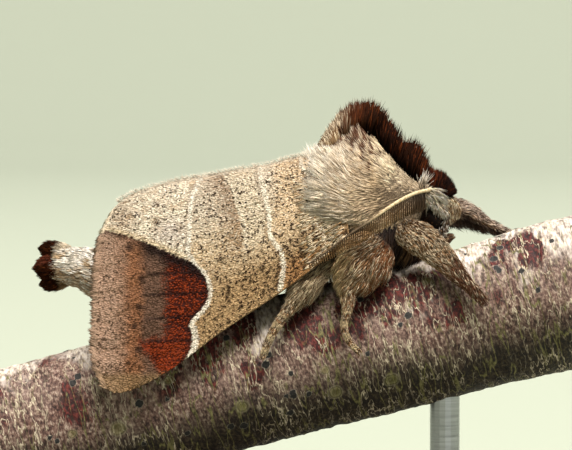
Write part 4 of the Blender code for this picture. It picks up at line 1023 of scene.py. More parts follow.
# Lengths of hair at even steps from hip to foot, its lift, and where along the leg the spurs are
LEG_HAIR = {
    "fore": ((0.3, 0.34, 0.36, 0.4, 0.45, 0.4), 0.42, ()),
    "mid": ((0.72, 0.88, 0.82, 0.4, 0.17, 0.15, 0.13), 0.42, (0.62,)),
    "hind": ((0.95, 1.15, 0.75, 0.28, 0.17, 0.14), 0.4, (0.58, 0.76)),
}
LEG_HAIR_COUNTS = {
    "fore_right": 8500, "fore_left": 6000, "mid_right": 10500, "mid_left": 4000,
    "hind_right": 5500, "hind_left": 3000,
}
for number, (leg, count) in enumerate(LEG_HAIR_COUNTS.items()):
    roots, outs, places, ahead = spread(SURFACES[leg], count, 40 + number)
    kind = leg.split("_")[0]
    sizes, lift, spurs = LEG_HAIR[kind]
    forward, up, share = outs[:, 0], outs[:, 2], places[:, 1]
    lengths = np.interp(share, np.linspace(0, 1, len(sizes)), sizes)
    shaggy = soft(0.62, 0.4, share)
    chance = np.random.default_rng(70 + number).uniform(0, 1, count) + 0.3 * cloud(roots, 0.16, 70 + number)
    top = np.arange(count) % ONE_ON_TOP == 0
    rarer = 0.08 if kind == "mid" else 0.0
    colours = laid(
        plain("#ab8763", count),
        ("#f3e7cf", 0.75 * (chance > np.where(top, 0.5, 0.66) + rarer)),
        ("#3d2616", 0.85 * (chance < np.where(top, 0.2, 0.32) - rarer)),
    )
    if kind == "fore":
        aims = ahead + np.array([0.0, 0, -0.35]) * shaggy[:, None]
    else:
        aims = ahead + np.array([-0.9, 0, -0.3]) * (shaggy * soft(0.3, -0.3, forward))[:, None]
    if leg == "fore_right":
        footwards = soft(0.42, 0.66, share + 0.1 * cloud(roots, 0.35, 60 + number))
        colours = laid(colours, ("#5c2d12", 0.85 * footwards * (chance < 0.88)))
        aims = aims + np.array([0.2, -0.1, -0.6]) * soft(0.6, 0.8, share)[:, None]
    # The far foreleg: pale grey-mauve on top as painted highlight and near-black below as painted shade, with
    # long hair that hangs below it.
    if leg == "fore_left":
        colours = laid(
            colours,
            ("#d6c6bb", 0.85 * soft(0.0, 0.4, up) * (chance > 0.25)),
            ("#2b170e", 0.9 * soft(0.25, -0.2, up)),
        )
        lengths = lengths * (1 + 1.3 * soft(-0.3, -0.9, up) * soft(0.9, 0.6, share))
        aims = aims + np.array([-0.3, 0, -1.6]) * soft(-0.1, -0.7, up)[:, None]
    if kind == "mid":
        rusty = soft(0.1, 0.7, forward) * soft(0.8, 0.5, share) * (chance < 0.75)
        pale = 0.8 * shaggy * soft(0.3, -0.3, forward) * (chance > 0.36)
        colours = laid(colours, ("#e3c797", pale), ("#8a4f26", 0.7 * rusty))
    if kind == "hind":
        colours = laid(colours, ("#d9c8a6", 0.6 * shaggy * (chance > 0.33)))
    bands = soft(-0.2, 0.3, np.sin(share * 62)) * soft(0.6, 0.66, share) * (kind != "fore")
    colours = laid(colours, ("#e3d2ae", 0.75 * bands))
    hair("coat_leg_" + leg, LEG_SLOT, (roots, outs, places), aims, lengths, np.where(top, 0.036, 0.032),
         colours, leg_hair, 50 + number,
         lift=lift * np.where(top, 1.4, 0.9), curl=0.5, clump=0.25, wave=0.6)

    shares = np.array([*spurs, *spurs, 0.985, 0.985])
    hooked = np.arange(len(shares)) >= len(shares) - 2
    ways = unit(along(LEGS[leg], shares) - along(LEGS[leg], shares - 0.03))
    splayed = np.where(np.arange(len(shares)) % 2, 1.0, -1.0)[:, None] * np.array([0, 1.0, 0])
    ways = unit(ways + np.where(hooked[:, None], 0.35, 0.55) * splayed + np.array([0, 0, -0.35]))
    bristles(
        "spurs_claws_" + leg, LEG_SLOT, along(LEGS[leg], shares), ways, np.where(hooked, 0.28, 0.7),
        plain("#6e5236", len(shares)), chitin, width=0.11, bend=0.25, blunt=0.1, unevenness=0.1,
        seed=60 + number,
    )

# Abdomen: cream hair, painted brownish below as shade, ending behind the wings in three round
# tufts, whose tips are chocolate brown and whose undersides are painted grey-brown as shade.

roots, outs, places, ahead = spread(
    SURFACES["abdomen"], 6000, 90, lambda p: 0.12 + soft(-7.4, -8.4, p[:, 0])
)
count = len(roots)
patch = cloud(roots, 0.3, 91)
chance = np.random.default_rng(98).uniform(0, 1, count)
# Painted shade: brown on the hair that faces down.
colours = laid(
    plain("#fcf8f0", count),
    ("#b8a386", soft(0.1, 0.5, patch)),
    ("#b08d64", 0.7 * soft(0.3, -0.5, outs[:, 2] + 0.4 * patch) * (chance > 0.3)),
)
hair("coat_abdomen", BODY_SLOT, (roots, outs, places), ahead, np.full(count, 0.5), 0.065, colours,
     thorax_hair, 92, lift=0.2)

on_lobe = 1900
grown = [spread(SURFACES["lobe_%d" % number], on_lobe, 93 + number) for number in range(3)]
roots, outs, places, ahead = (np.concatenate(parts) for parts in zip(*grown))
count, lobe = len(roots), np.repeat(np.arange(3), on_lobe)
share = places[:, 1] + 0.12 * cloud(roots, 0.3, 95) + 0.02
# Painted shade: grey-brown on the hair of the tufts that faces down.
colours = laid(
    plain("#e6dac4", count),
    ("#9a8062", soft(0.3, -0.4, outs[:, 2])),
    ("#361808", soft(0.36, 0.46, share)),
    ("#6e3d1f", 0.7 * soft(0.4, 0.5, share) * (np.arange(count) % 7 == 0)),
    ("#7d4433", 0.8 * soft(0.2, 0.6, outs[:, 2]) * (lobe == 1) * soft(0.45, 0.6, share)),
)
places = places * [0.3, 1.0] + np.stack([0.33 * lobe, 0 * lobe], 1)
hair("coat_tail", CHOCOLATE_SLOT, (roots, outs, places), ahead + outs * soft(0.6, 1.0, share)[:, None],
     0.36 - 0.08 * soft(0.7, 0.95, share), 0.04, colours, dark_hair, 97,
     lift=0.5, clump=0.1, wave=0.1, tips=colours * 0.8)

# Eyes: round and black, with thousands of tiny facets that blur the shine. They sit in the sides of
# the head under an overhang of hair.


def eye_material():
    """Eye: smooth black cornea over dark pigment, whose facets break up a soft highlight."""
    paint, tree, place = new_paint("moth_eye_cornea", {"Roughness": 0.5, "Specular IOR Level": 0.08})
    inputs = {"Vector": place, "Scale": 26000}
    facets = add_node(tree, "ShaderNodeTexVoronoi", inputs, feature="F1").outputs["Distance"]
    colour = lay(tree, None, facets, ((0.1, "#060403"), (0.7, "#140b07")))
    colour = lay(tree, colour, None, "#4a2f1c", [(pattern(tree, place, 9.0), 0.6, 0.72)])
    finish(tree, colour, facets, 0.5, 0.01, invert=True)
    return paint


def capped(name, rings, paint, ends=None):
    """A piece from rings of points, closed by a fan at each end."""
    rows, sides = rings.shape[:2]
    k = np.arange(sides)
    after, last, count = (k + 1) % sides, (rows - 1) * sides, rows * sides
    quads = grid_faces(rows, sides, True)
    first_fan = np.stack([k, after, np.full(sides, count)], 1)
    last_fan = np.stack([last + after, last + k, np.full(sides, count + 1)], 1)
    faces = np.concatenate([quads[:, (0, 1, 2)], quads[:, (0, 2, 3)], first_fan, last_fan])
    ends = rings[[0, -1]].mean(axis=1) if ends is None else ends
    points = np.concatenate([rings.reshape(-1, 3), ends])
    return build(name, points, faces, paint), points


eye_paint = eye_material()
eye_rings, eye_sides = 48, 64
polar = np.linspace(0, math.pi, eye_rings + 1)[1:-1, None]
turn = np.linspace(0, 2 * math.pi, eye_sides, endpoint=False)[None]
globe = np.stack([np.sin(polar) * np.cos(turn), np.sin(polar) * np.sin(turn), np.cos(polar) + 0 * turn], -1)
for side, sign in (("right", -1), ("left", 1)):
    centre, radius = EYE_CENTRE * [1, sign, 1], EYE_RADIUS * 0.97
    poles = centre + np.array([(0, 0, 1.0), (0, 0, -1.0)]) * radius
    piece, _ = capped("eye_" + side, centre + globe * radius, eye_paint, poles)
    fix(piece, "eye_black", "eye_" + side)

# Antennae: a scaled shaft swept back along the wing's edge, with two rows of comb teeth that hang
# from it, longest near the head. Palps: two short blunt mouth feelers held forward under the head.

ANTENNA_PATH = (
    (6.75, 1.6, 4.9), (5.9, 2.75, 4.72), (4.9, 3.35, 4.2), (3.9, 3.65, 3.5), (2.9, 3.8, 2.85),
    (1.9, 3.9, 2.1), (1.0, 4.0, 1.5),
)
ANTENNA_SIZES = ((0.085, 0.085), (0.08, 0.08), (0.05, 0.05), (0.03, 0.03))
ANTENNA_TEETH = 56
PALP_PATH = ((7.1, 0.37, 2.62), (7.4, 0.38, 2.5), (7.7, 0.37, 2.6))
PALP_SIZES = ((0.16, 0.16), (0.19, 0.19), (0.1, 0.1))
PALP_HAIRS = 800
ANTENNA_SLOT = "antenna_brown"
antenna_paint = hair_material("antenna_scales_and_chitin", 0.65, 0.0, 0.15)
for side, sign in (("right", -1), ("left", 1)):
    path = np.array(ANTENNA_PATH) * [1, sign, 1]
    shaft, points = capped("antenna_" + side, tube(path, ANTENNA_SIZES, 20, 220), antenna_paint)
    give(shaft, "pigment", laid(
        plain("#e9d9b6", len(points)),
        ("#a8844f", 0.6 * soft(0.0, 0.3, cloud(points, 0.1, 3))),
        ("#3a2413", 0.9 * soft(4.9, 3.4, points[:, 0])),
    ))
    # A steady 'out' of 0.7 dims the shaft a little as painted shade.
    give(shaft, "out", np.full(len(points), 0.7))
    fix(shaft, ANTENNA_SLOT, "antenna_" + side)

    t = np.linspace(0.06, 0.985, ANTENNA_TEETH)
    roots = along(path, t)
    ahead = unit(along(path, t + 0.01) - along(path, t - 0.01))
    reach = np.interp(t, (0, 0.12, 0.6, 1), (0.8, 1.05, 0.85, 0.25))
    rows = [unit(np.array([0.0, aside * sign, -1.0]) + ahead * 0.16) for aside in (0.22, -0.30)]
    shade = np.random.default_rng(8).uniform(0.8, 1.15, (2 * ANTENNA_TEETH, 1))
    ochre = laid(plain("#57401f", 2 * ANTENNA_TEETH), ("#8f6a35", soft(0.1, 0.4, np.tile(t, 2))))
    ochre = ochre * shade * 0.36
    # The inner row of teeth, which faces the body, is painted far darker as shade.
    ochre[ANTENNA_TEETH:] *= 0.22
    bristles(
        "antenna_comb_" + side, ANTENNA_SLOT, np.concatenate([roots, roots]), np.concatenate(rows),
        np.tile(reach, 2), ochre, antenna_paint, width=0.062, bend=0.12, blunt=0.7, unevenness=0.08, seed=3,
    )

    rings = tube(np.array(PALP_PATH) * [1, sign, 1], PALP_SIZES, 20, 30)
    palp, points = capped("palp_" + side, rings, thorax_hair)
    give(palp, "pigment", plain("#6b5038", len(points)))
    # A steady 'out' of 0.4 darkens the palp as painted shade.
    give(palp, "out", np.full(len(points), 0.4))
    fix(palp, BODY_SLOT, "palp_" + side)
    roots, outs, places, ahead = spread(rings, PALP_HAIRS, 120)
    colours = laid(
        plain("#4a3322", PALP_HAIRS),
        ("#a08868", soft(0.0, 0.4, cloud(roots, 0.2, 7))),
        ("#4b3121", 0.7 * soft(-0.1, -0.6, outs[:, 2])),
    )
    hair("coat_palp_" + side, BODY_SLOT, (roots, outs, places), ahead, np.full(PALP_HAIRS, 0.28), 0.055,
         colours, thorax_hair, 121, lift=0.3)

# Wings: the forewings, folded like a roof over the body and the twig. Each is a thin membrane
# stiffened by veins and covered in overlapping scales, whose colours make the markings, with a
# fringe of longer scales on the outer edge. The hindwings lie folded under them.

WING_SLOT = "wing_scales"
DORSUM = ((2.5, 5.9), (0.96, 6.45), (-0.9, 6.05), (-3.2, 5.65), (-5.8, 5.14), (-7.55, 4.5), (-8.25, 3.8))
COSTA = (
    (2.95, 2.85), (1.58, 1.58), (-0.14, 0.28), (-3.16, -1.72), (-5.2, -3.25), (-6.7, -4.1),
    (-7.86, -4.42), (-8.65, -4.0),
)
ROOT_EDGE = ((2.5, 5.9), (2.95, 2.85))
TERMEN = ((-8.25, 3.8), (-8.8, 2.6), (-9.0, 1.0), (-9.05, -1.0), (-9.08, -2.9), (-8.65, -4.0))
# Each vein's place between ridge and lower edge, and where it starts along the wing
VEINS = (
    (0.13, 0.0), (0.27, 0.3), (0.38, 0.0), (0.47, 0.48), (0.56, 0.48), (0.66, 0.48), (0.76, 0.0),
    (0.9, 0.0),
)
MEMBRANE_END = 0.972
MEMBRANE_DEPTH = 0.12
WING_SCALES = 28000
# Markings, as they are seen from the side
POSTMEDIAN = (
    (-4.0, 5.7), (-4.05, 5.4), (-4.37, 4.6), (-4.51, 3.7), (-4.51, 2.79), (-4.56, 2.05), (-4.23, 1.44),
    (-3.84, 1.02), (-3.6, 0.37), (-3.65, -0.19), (-3.86, -0.56), (-4.23, -0.98), (-4.47, -1.3),
    (-4.35, -1.77), (-4.37, -2.28), (-4.75, -3.1),
)
PATCH_EDGE = (
    (-9.3, 3.25), (-8.33, 3.0), (-7.21, 2.7), (-6.47, 2.44), (-5.84, 2.19), (-5.22, 1.91), (-4.6, 1.66),
    (-4.23, 1.44), (-3.84, 1.02), (-3.6, 0.37), (-3.65, -0.19), (-3.86, -0.56), (-4.23, -0.98),
    (-4.47, -1.3), (-4.35, -1.77), (-4.37, -2.28), (-4.9, -3.4), (-5.3, -4.6),
)
MEDIAN = (
    (-2.95, 5.6), (-2.84, 5.16), (-2.62, 4.98), (-2.35, 4.07), (-2.07, 3.14), (-2.0, 2.0), (-2.05, 0.93),
    (-2.2, -0.9),
)
THIRD_LINE = (
    (-1.25, 6.3), (-1.21, 5.53), (-0.98, 4.53), (-0.79, 3.6), (-0.74, 2.79), (-0.23, 1.95),
    (-0.14, 1.3), (-0.3, 0.3),
)
INNER_LINE = (
    (0.7, 6.3), (0.74, 5.95), (1.05, 5.44), (1.21, 4.4), (1.21, 3.46), (1.66, 3.02), (1.79, 2.5),
    (1.75, 1.9),
)
SUBMARGINAL_SPOTS = ((-6.74, 0.79), (-6.84, -0.51), (-7.02, -1.4), (-6.88, -2.51), (-7.3, 2.2))
BLOTCHES = ((-6.09, 4.23, 0.25), (-6.0, 3.44, 0.28))
TIP_VEINS = (1.05, 0.1, -1.0, -2.05)
SCALE_PATCH = ((0, -0.5), (-0.5, 0), (0.5, 0), (0, 0.5), (0, 0))
# A scale's points are its foot, the sides of its middle, its tip and the raised middle itself
SCALE_FACES = np.array([(0, 4, 1), (1, 4, 3), (3, 4, 2), (2, 4, 0), (0, 1, 2), (1, 3, 2)])


def wing_side_view(u, v):
    """The side-view place of points of the wing. u runs outwards and v from ridge to lower edge."""
    ends = [along(line, t) for line in (DORSUM, COSTA) for t in (0.0, 1.0)]
    u2, v2 = u[..., None], v[..., None]
    corners = (
        ends[0] * (1 - u2) * (1 - v2) + ends[2] * (1 - u2) * v2 + ends[1] * u2 * (1 - v2) + ends[3] * u2 * v2
    )
    lengthways = along(DORSUM, u) * (1 - v2) + along(COSTA, u) * v2
    return lengthways + along(ROOT_EDGE, v) * (1 - u2) + along(TERMEN, v) * u2 - corners


def wing_point(u, v):
    """Places on the outer face of the left forewing."""
    side = wing_side_view(u, v)
    ridge = 0.65 + 0.7 * np.maximum(0, 1 - u / 0.14) ** 1.5
    edge = 2.75 + 1.6 * np.minimum(1, u / 0.75)
    out = ridge + (edge - ridge) * np.maximum(v, 1e-6) ** 0.62 - 0.6 * np.exp(-v / 0.03)
    vein_width, vein_height = 0.009, 0.05
    ribs = np.zeros(np.shape(u))
    for place, start in VEINS:
        rib = np.exp(-(((v - place) / vein_width) ** 2)) * soft(start - 0.03, start + 0.03, u) * (1 - 0.6 * u)
        ribs = ribs + vein_height * rib
    ribs = ribs + 0.05 * np.sin(v * 46) * soft(0.5, 0.95, u)
    return np.stack([side[..., 0], out + ribs, side[..., 1]], -1)


def wing_frame(u, v):
    """Places on the left forewing, with the way out and the way towards its outer edge."""
    step = 0.004
    here = wing_point(u, v)
    outwards = wing_point(u + step, v) - wing_point(u - step, v)
    down = wing_point(u, v + step) - wing_point(u, np.maximum(v - step, 0))
    out = unit(np.cross(outwards, down))
    out = np.where(out[..., 1:2] < 0, -out, out)
    return here, out, unit(outwards)


def off_line(line, p):
    """How far side-view places are from a smooth line, above zero on its right as it is drawn."""
    drawn = along(line, np.linspace(0, 1, 90))
    start, span = drawn[:-1], np.diff(drawn, axis=0)
    best = np.full(len(p), 1e9)
    side = np.ones(len(p))
    for a, s in zip(start, span):
        rel = p - a
        t = np.clip(rel @ s / (s @ s), 0, 1)
        away = np.linalg.norm(rel - t[:, None] * s, axis=1)
        nearer = away < best
        best = np.where(nearer, away, best)
        side = np.where(nearer, np.sign(rel[:, 0] * s[1] - rel[:, 1] * s[0]), side)
    return best * side


def speck_share(p, v, chance):
    """Above zero for the single dark scales that make specks, in loose rows, closer near the lower edge."""
    x, z = p[:, 0], p[:, 2]
    level = 0.985 - 0.1 * soft(0.5, 0.8, v) - 0.04 * soft(-1.2, 0.0, x) + 0.04 * soft(0.2, 0.0, v)
    return chance + 0.4 * cloud(np.stack([x * 0.7, z, 0 * x], 1), 0.14, 9) - level


def wing_colour(p, u, v, chance):
    """The colours of the forewing at places p, whose shares along and across it are u and v. chance,
    from 0 to 1, is each place's draw for the scales of odd colours."""
    x, z = p[:, 0], p[:, 2]
    side = np.stack([x, z], 1)
    fine, mid, wide = cloud(p, 0.16, 1), cloud(p, 0.45, 2), cloud(p, 1.3, 3)
    median, third = off_line(MEDIAN, side), off_line(THIRD_LINE, side)
    post, inner = off_line(POSTMEDIAN, side), off_line(INNER_LINE, side)
    above, outer = soft(0.66, 0.5, v), soft(0.0, 0.2, post)
    in_grey = soft(1.5, 0.4, np.hypot((x + 5.4) / 1.1, (z - 2.95) / 0.9) * 1.5)
    colour = laid(
        plain("#d6c1a1", len(p)),
        ("#dfd4c3", 0.9 * soft(0.55, 0.2, v + 0.08 * wide)),
        ("#b4956a", 0.8 * soft(0.5, 0.85, v + 0.06 * wide)),
        ("#ecd0ab", 0.75 * soft(-1.0, -0.2, x) * soft(0.8, 0.45, v)),
        ("#b8783f", 0.5 * soft(-0.6, 0.4, x) * soft(2.4, 1.4, x) * soft(0.76, 0.9, v)),
        ("#e2d5bd", 0.8 * soft(-0.1, 0.15, -median) * soft(0.1, 0.4, third) * above),
        ("#947455", 0.65 * soft(1.5, 0.0, median) * soft(-0.05, 0.05, median) * above),
        ("#ece2ce", 0.8 * soft(0.14, 0.02, np.abs(median + 0.12)) * above),
        ("#f7eddb", 0.92 * outer),
        ("#dbd1c8", 0.85 * outer * in_grey),
        ("#bfa683", 0.5 * outer * soft(0.0, 0.5, mid) * soft(2.6, 3.6, z)),
        ("#ad967b", 0.6 * outer * soft(1.0, 0.3, np.hypot(x + 7.7, z - 3.6))),
    )
    for bx, bz, size in BLOTCHES:
        near = soft(size, 0.3 * size, np.hypot(x - bx, z - bz))
        colour = laid(colour, ("#5d4732", 0.85 * near * (chance > 0.35)))
    speck = speck_share(p, v, chance)
    odd = np.mod(chance * 17.3, 1)
    colour = laid(
        colour,
        ("#75583a", 0.5 * (odd < 0.3) * soft(0.45, 0.8, v)),
        ("#efe6d6", 0.5 * (odd > 0.7) * soft(0.8, 0.4, v)),
        ("#2b180b", (0.85 + 0.15 * odd) * soft(0.0, 0.01, speck)),
        ("#7a5c3d", 0.5 * soft(-0.1, -0.06, speck) * soft(0.0, -0.01, speck)),
    )
    for line, width, shade in ((post, 0.105, "#faf3e6"), (third, 0.11, "#f7efdf"), (inner, 0.1, "#f1e7d5")):
        rough = np.abs(line) + (0.02 if line is post else 0.04) * fine + 0.02 * mid
        wider = width * (1 + (0.5 * soft(1.6, 0.6, z) + 0.9 * soft(-1.1, -1.5, z)) * (line is post))
        whole = 0.85 + 0.15 * soft(0.95, 0.75, chance)
        colour = laid(
            colour,
            ("#7f6244", 0.4 * soft(2.4 * width, 1.2 * width, rough) * soft(-0.1, 0.1, line)),
            (shade, 0.95 * soft(1.3 * wider, 0.7 * wider, rough) * whole),
        )

    # The chocolate tip: slate and red-brown inside a white curve, paler and pinker outwards
    inside = off_line(PATCH_EDGE, side) + 0.03 * fine
    colour = laid(colour, ("#e6d3b2", 0.8 * soft(0.3, 0.05, -inside) * soft(-4.4, -5.0, x)))
    tip = soft(0.0, 0.05, inside)
    rear_part = soft(-6.9, -6.3, x + 0.7 * (z + 2.4) + 0.3 * mid)
    red = soft(-5.95, -5.3, x + 0.2 * mid + 0.15 * fine) + soft(-1.8, -2.2, z + 0.2 * mid) * rear_part
    red = np.clip(red, 0, 1)
    flecked = chance + 0.12 * cloud(np.stack([x * 0.4, z, 0 * x], 1), 0.12, 12) + 0.25 * soft(-1.2, -2.2, z)
    patch = laid(
        plain("#725748", len(p)),
        ("#a5816a", 0.85 * soft(-6.6, -7.2, x + 0.25 * mid)),
        ("#9a6846", 0.75 * soft(0.6, 0.1, np.abs(x + 7.05 + 0.2 * mid)) * soft(3.0, 2.0, z)),
        ("#bb9f8c", 0.75 * soft(-7.4, -8.2, x + 0.2 * mid)),
        ("#451506", red),
        ("#983c15", 0.8 * red * soft(0.55, 0.75, flecked)),
        ("#140604", 0.93 * soft(0.9, 0.2, inside + 0.15 * mid) * soft(-7.6, -6.2, x) * soft(0.2, 1.2, z)),
        ("#2b1208", 0.7 * soft(0.35, 0.05, inside) * soft(-5.0, -8.0, x)),
        ("#1c0c08", 0.7 * soft(0.3, 0.05, inside) * soft(-5.5, -5.0, x)),
    )
    for bx, bz in SUBMARGINAL_SPOTS:
        patch = laid(patch, ("#22130d", 0.8 * soft(0.28, 0.06, np.hypot(x - bx, z - bz) + 0.06 * fine)))
    for vein_z in TIP_VEINS:
        vein = soft(0.09, 0.03, np.abs(z - vein_z - 0.04 * (x + 5.0) + 0.03 * fine))
        patch = laid(patch, ("#1f0b06", 0.85 * vein * soft(-7.0, -6.0, x)))
    patch = laid(
        patch,
        ("#33200f", 0.8 * soft(0.02, 0.04, speck) * soft(-5.8, -6.6, x)),
        ("#8d7453", 0.8 * soft(-3.35, -3.8, z + 0.1 * mid)),
    )
    return laid(
        colour + (patch - colour) * tip[:, None],
        ("#9a8670", 0.7 * soft(0.965, 0.985, u) * soft(0.1, 0.2, v)),
        ("#efe6d6", 0.8 * soft(0.03, 0.005, v)),
    )


def mirrored(points, side):
    """Points of the left wing, moved to a side."""
    return points * [1, 1 if side == "left" else -1, 1]


def sheet_faces(columns, rows):
    """The faces of a sheet's outer and inner grids and of the rim between them."""
    front = grid_faces(columns, rows)
    rim = np.concatenate([
        np.arange(0, columns * rows, rows), (columns - 1) * rows + np.arange(1, rows),
        np.arange((columns - 1) * rows - 1, -1, -rows), np.arange(rows - 2, 0, -1),
    ])
    after = np.roll(rim, -1)
    count = columns * rows
    edge = np.stack([rim, after, after + count, rim + count], 1)
    return np.concatenate([front[:, ::-1], front + count, edge])


def wing_sheet(side, paint):
    """The membrane: an outer face with its veins, an inner face and a rim."""
    columns, rows = 150, 90
    u, v = np.meshgrid(np.linspace(0, MEMBRANE_END, columns), np.linspace(0, 1, rows) ** 1.3, indexing="ij")
    outer, out, _ = wing_frame(u, v)
    inner = outer - out * MEMBRANE_DEPTH
    colour = wing_colour(outer.reshape(-1, 3), u.ravel(), v.ravel(), np.full(u.size, 0.5))
    points = np.concatenate([outer.reshape(-1, 3), inner.reshape(-1, 3)])
    made = build("forewing_" + side, mirrored(points, side), sheet_faces(columns, rows), paint)
    # The outer face takes the wing's colours a little darker; the inner face, which faces the body, takes a
    # dark grey copy of them as painted shade, and an 'out' of 0.5 dims both as painted shade.
    give(made, "pigment", np.concatenate([colour * 0.8, colour * 0.4 + 0.1]))
    give(made, "out", np.full(len(points), 0.5))
    return made


def wing_scales(side, paint, count, seed):
    """Overlapping scales on the outer face, each a thin pointed plate that lies towards the edge,
    with longer ones in the fringe of the outer edge and short hairs along the ridge."""
    fringe, fuzz, base_hairs = 2200, 420, 1300
    draw = np.random.default_rng(seed)
    total = count + fringe + fuzz + base_hairs
    u = np.concatenate([draw.uniform(0, MEMBRANE_END, count), draw.uniform(0.958, MEMBRANE_END, fringe),
                        draw.uniform(0.04, 0.95, fuzz), 0.16 * draw.uniform(0, 1, base_hairs) ** 1.4])
    v = np.concatenate([draw.uniform(0, 1, count + fringe), draw.uniform(0, 0.012, fuzz),
                        draw.uniform(0.25, 1, base_hairs)])
    kinds = np.repeat(np.arange(4), (count, fringe, fuzz, base_hairs))
    is_fringe, is_fuzz, is_base = kinds == 1, kinds == 2, kinds == 3
    roots, out, lie = wing_frame(u, v)
    sides = np.cross(out, lie)
    lie = unit(lie + sides * draw.normal(0, 0.14, (total, 1)))
    ruffled = unit(np.array([-0.75, 0.15, 0.55]) + draw.normal(0, 0.2, (total, 3)))
    lie = np.where(is_fuzz[:, None], ruffled, lie)
    sides = unit(np.cross(out, lie))
    long = np.select([is_fringe, is_fuzz, is_base], [0.36, 0.24, 0.6], 0.18) * draw.uniform(0.75, 1.3, total)
    long = (long * (1 + 0.15 * np.sin(v * 120) * is_fringe))[:, None]
    chance = draw.uniform(0, 1, total)
    painted = roots + lie * long * 0.6 * ~is_fringe[:, None]
    is_speck = (speck_share(painted, v, chance) > 0.0) & (kinds == 0)
    long = long * np.where(is_speck, 0.6, 1.0)[:, None]
    wide = np.select([is_fuzz, is_base, is_speck], [0.03, 0.05, 0.075], 0.078)[:, None]
    wide = wide * draw.uniform(0.8, 1.2, (total, 1)) / 2
    roots = roots + out * 0.035 * is_speck[:, None]
    lift = (0.03 + 0.1 * chance)[:, None]
    foot = roots - out * 0.01
    middle = roots + lie * long * 0.55 + out * (long * lift * 0.6 + 0.004)
    tip = roots + lie * long + out * long * lift
    colour = wing_colour(painted, u, v, chance)
    colour = laid(
        colour,
        ("#8d7763", 0.5 * is_fringe * soft(0.1, 0.2, v)),
        ("#e9dcc4", 0.8 * is_fringe * soft(0.17, 0.08, v)),
        ("#e9e0d0", 0.9 * is_fuzz),
        ("#b8966b", 0.85 * is_base),
        ("#efe2c8", 0.8 * is_base * (chance > 0.6)),
        ("#5f432a", 0.8 * is_base * (chance < 0.22)),
    )
    colour = colour * draw.uniform(0.76, 1.24, (total, 1))
    points = np.stack([foot, middle - sides * wide, middle + sides * wide, tip, middle + out * 0.014], 1)
    faces = (np.arange(total)[:, None, None] * 5 + SCALE_FACES).reshape(-1, 3)
    made = build("wing_scales_" + side, mirrored(points.reshape(-1, 3), side), faces, paint, smooth=False)
    give(made, "pigment", np.repeat(np.clip(colour, 0, 1), 5, axis=0))
    # Painted shade on each scale: darkest at its foot, palest at its tip.
    give(made, "out", np.tile([0.3, 0.75, 0.75, 1.0, 0.75], total))
    bake_map(made, np.stack([u, v], 1), SCALE_PATCH)
    return made


def hindwing(side, paint):
    """The hindwing: a thin grey-brown sheet folded under the lower half of the forewing."""
    depth, thickness, columns, rows = 0.94, 0.3, 90, 30
    u, s = np.meshgrid(np.linspace(0.36, 0.88, columns), np.linspace(0, 1, rows), indexing="ij")
    upper = 0.76 - 0.14 * np.minimum(1.0, (u - 0.28) / 0.3)
    v = upper + (0.87 - upper) * s
    normal = wing_frame(u, v)[1]
    middle = wing_point(u - 0.1 * s * u, v) - normal * (depth + thickness / 2)
    rise = 0.05 * np.exp(-(((s - 0.28) / 0.02) ** 2)) + 0.05 * np.exp(-(((s - 0.68) / 0.02) ** 2))
    outer = middle + normal * (thickness / 2 + rise[..., None])
    inner = middle - normal * thickness / 2
    points = np.concatenate([outer.reshape(-1, 3), inner.reshape(-1, 3)])
    made = build("hindwing_" + side, mirrored(points, side), sheet_faces(columns, rows), paint)
    give(made, "pigment", laid(
        plain("#a8967e", len(points)),
        ("#6d5a47", soft(0.0, 0.4, cloud(points, 0.12, 31))),
        ("#d3c4aa", 0.6 * soft(0.9, 1.0, np.tile(s.ravel(), 2))),
    ))
    # A steady 'out' of 0.6 dims the hindwing, under the forewing, as painted shade.
    give(made, "out", np.full(len(points), 0.6))
    return made


scale_paint = hair_material("wing_scale_chitin", 0.7, 0.0, 0.12)
for side, seed in (("right", 21), ("left", 22)):
    fix(wing_sheet(side, scale_paint), WING_SLOT, "forewing_" + side)
    fix(wing_scales(side, scale_paint, WING_SCALES, seed), WING_SLOT)
    fix(hindwing(side, scale_paint), WING_SLOT, "hindwing_" + side)

# Floor and light: a pale sweep of paper under a broad, soft light from above, as in daylight shade.

floor_paint, _, _ = new_paint("pale_paper_sweep", {"Base Color": linear("#9aa090"), "Roughness": 0.9})


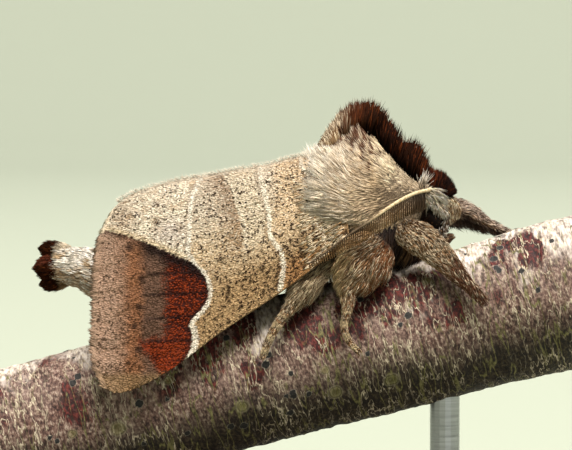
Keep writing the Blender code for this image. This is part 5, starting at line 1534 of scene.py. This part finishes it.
def sweep():
    """A floor that curves up into a wall far behind."""
    flat_to, bend, height, half_width = 0.9, 0.5, 2.0, 3.0
    profile = [(-3.0, 0.0), (flat_to, 0.0)]
    for k in range(1, 13):
        a = k / 12 * math.pi / 2
        profile.append((flat_to + bend * math.sin(a), bend * (1 - math.cos(a))))
    profile.append((flat_to + bend, height))
    mesh = bpy.data.meshes.new("floor")
    points = [(x, y, z) for y, z in profile for x in (-half_width, half_width)]
    faces = [(2 * k, 2 * k + 1, 2 * k + 3, 2 * k + 2) for k in range(len(profile) - 1)]
    mesh.from_pydata(points, [], faces)
    mesh.shade_smooth()
    mesh.materials.append(floor_paint)
    made = bpy.data.objects.new("floor", mesh)
    bpy.context.scene.collection.objects.link(made)
    return made


sweep()


def light(name, place, target, size, energy, colour):
    """A square area light at a place, turned to a target."""
    data = bpy.data.lights.new(name, "AREA")
    data.size = size
    data.energy = energy
    data.color = linear(colour)[:3]
    made = bpy.data.objects.new(name, data)
    made.location = place
    made.rotation_euler = (Vector(target) - Vector(place)).to_track_quat("-Z", "Y").to_euler()
    bpy.context.scene.collection.objects.link(made)


MIDDLE = (0.0, 0.0, 0.018)
light("key", (0.2, -0.75, 1.8), MIDDLE, 1.1, 96.0, "#fffaf3")
light("fill", (1.2, -1.6, 0.5), MIDDLE, 1.2, 4.0, "#f6f8ff")
light("rim", (0.3, 0.7, 1.5), MIDDLE, 0.7, 14.0, "#ffffff")
world = bpy.data.worlds.new("studio")
world.use_nodes = True
background = world.node_tree.nodes["Background"].inputs
background["Color"].default_value = linear("#e6e5da")
background["Strength"].default_value = 0.2
bpy.context.scene.world = world

# Camera: level with the moth and square to its right side, a long lens as for a close-up.

IMAGE_WIDTH_PX = 572
PX_PER_MM = 21.5
LENS = 300.0
SENSOR = 36.0
NEAR_WING_Y = -3.2
CAMERA_HEIGHT = math.radians(2.0)
CENTRE_Z = 3.30
camera_data = bpy.data.cameras.new("camera")
camera_data.lens = LENS
camera_data.sensor_width = SENSOR
distance = IMAGE_WIDTH_PX / PX_PER_MM * LENS / SENSOR
camera = bpy.data.objects.new("camera", camera_data)
aim = Vector((0.0, NEAR_WING_Y, PERCH_Z + CENTRE_Z)) * MM
back = Vector((0.0, -math.cos(CAMERA_HEIGHT), math.sin(CAMERA_HEIGHT)))
camera.location = aim + back * distance * MM
camera.rotation_euler = (-back).to_track_quat("-Z", "Y").to_euler()
camera_data.clip_start = 0.01
camera_data.clip_end = 10.0
bpy.context.scene.collection.objects.link(camera)
bpy.context.scene.camera = camera
bpy.context.scene.view_settings.view_transform = "Standard"
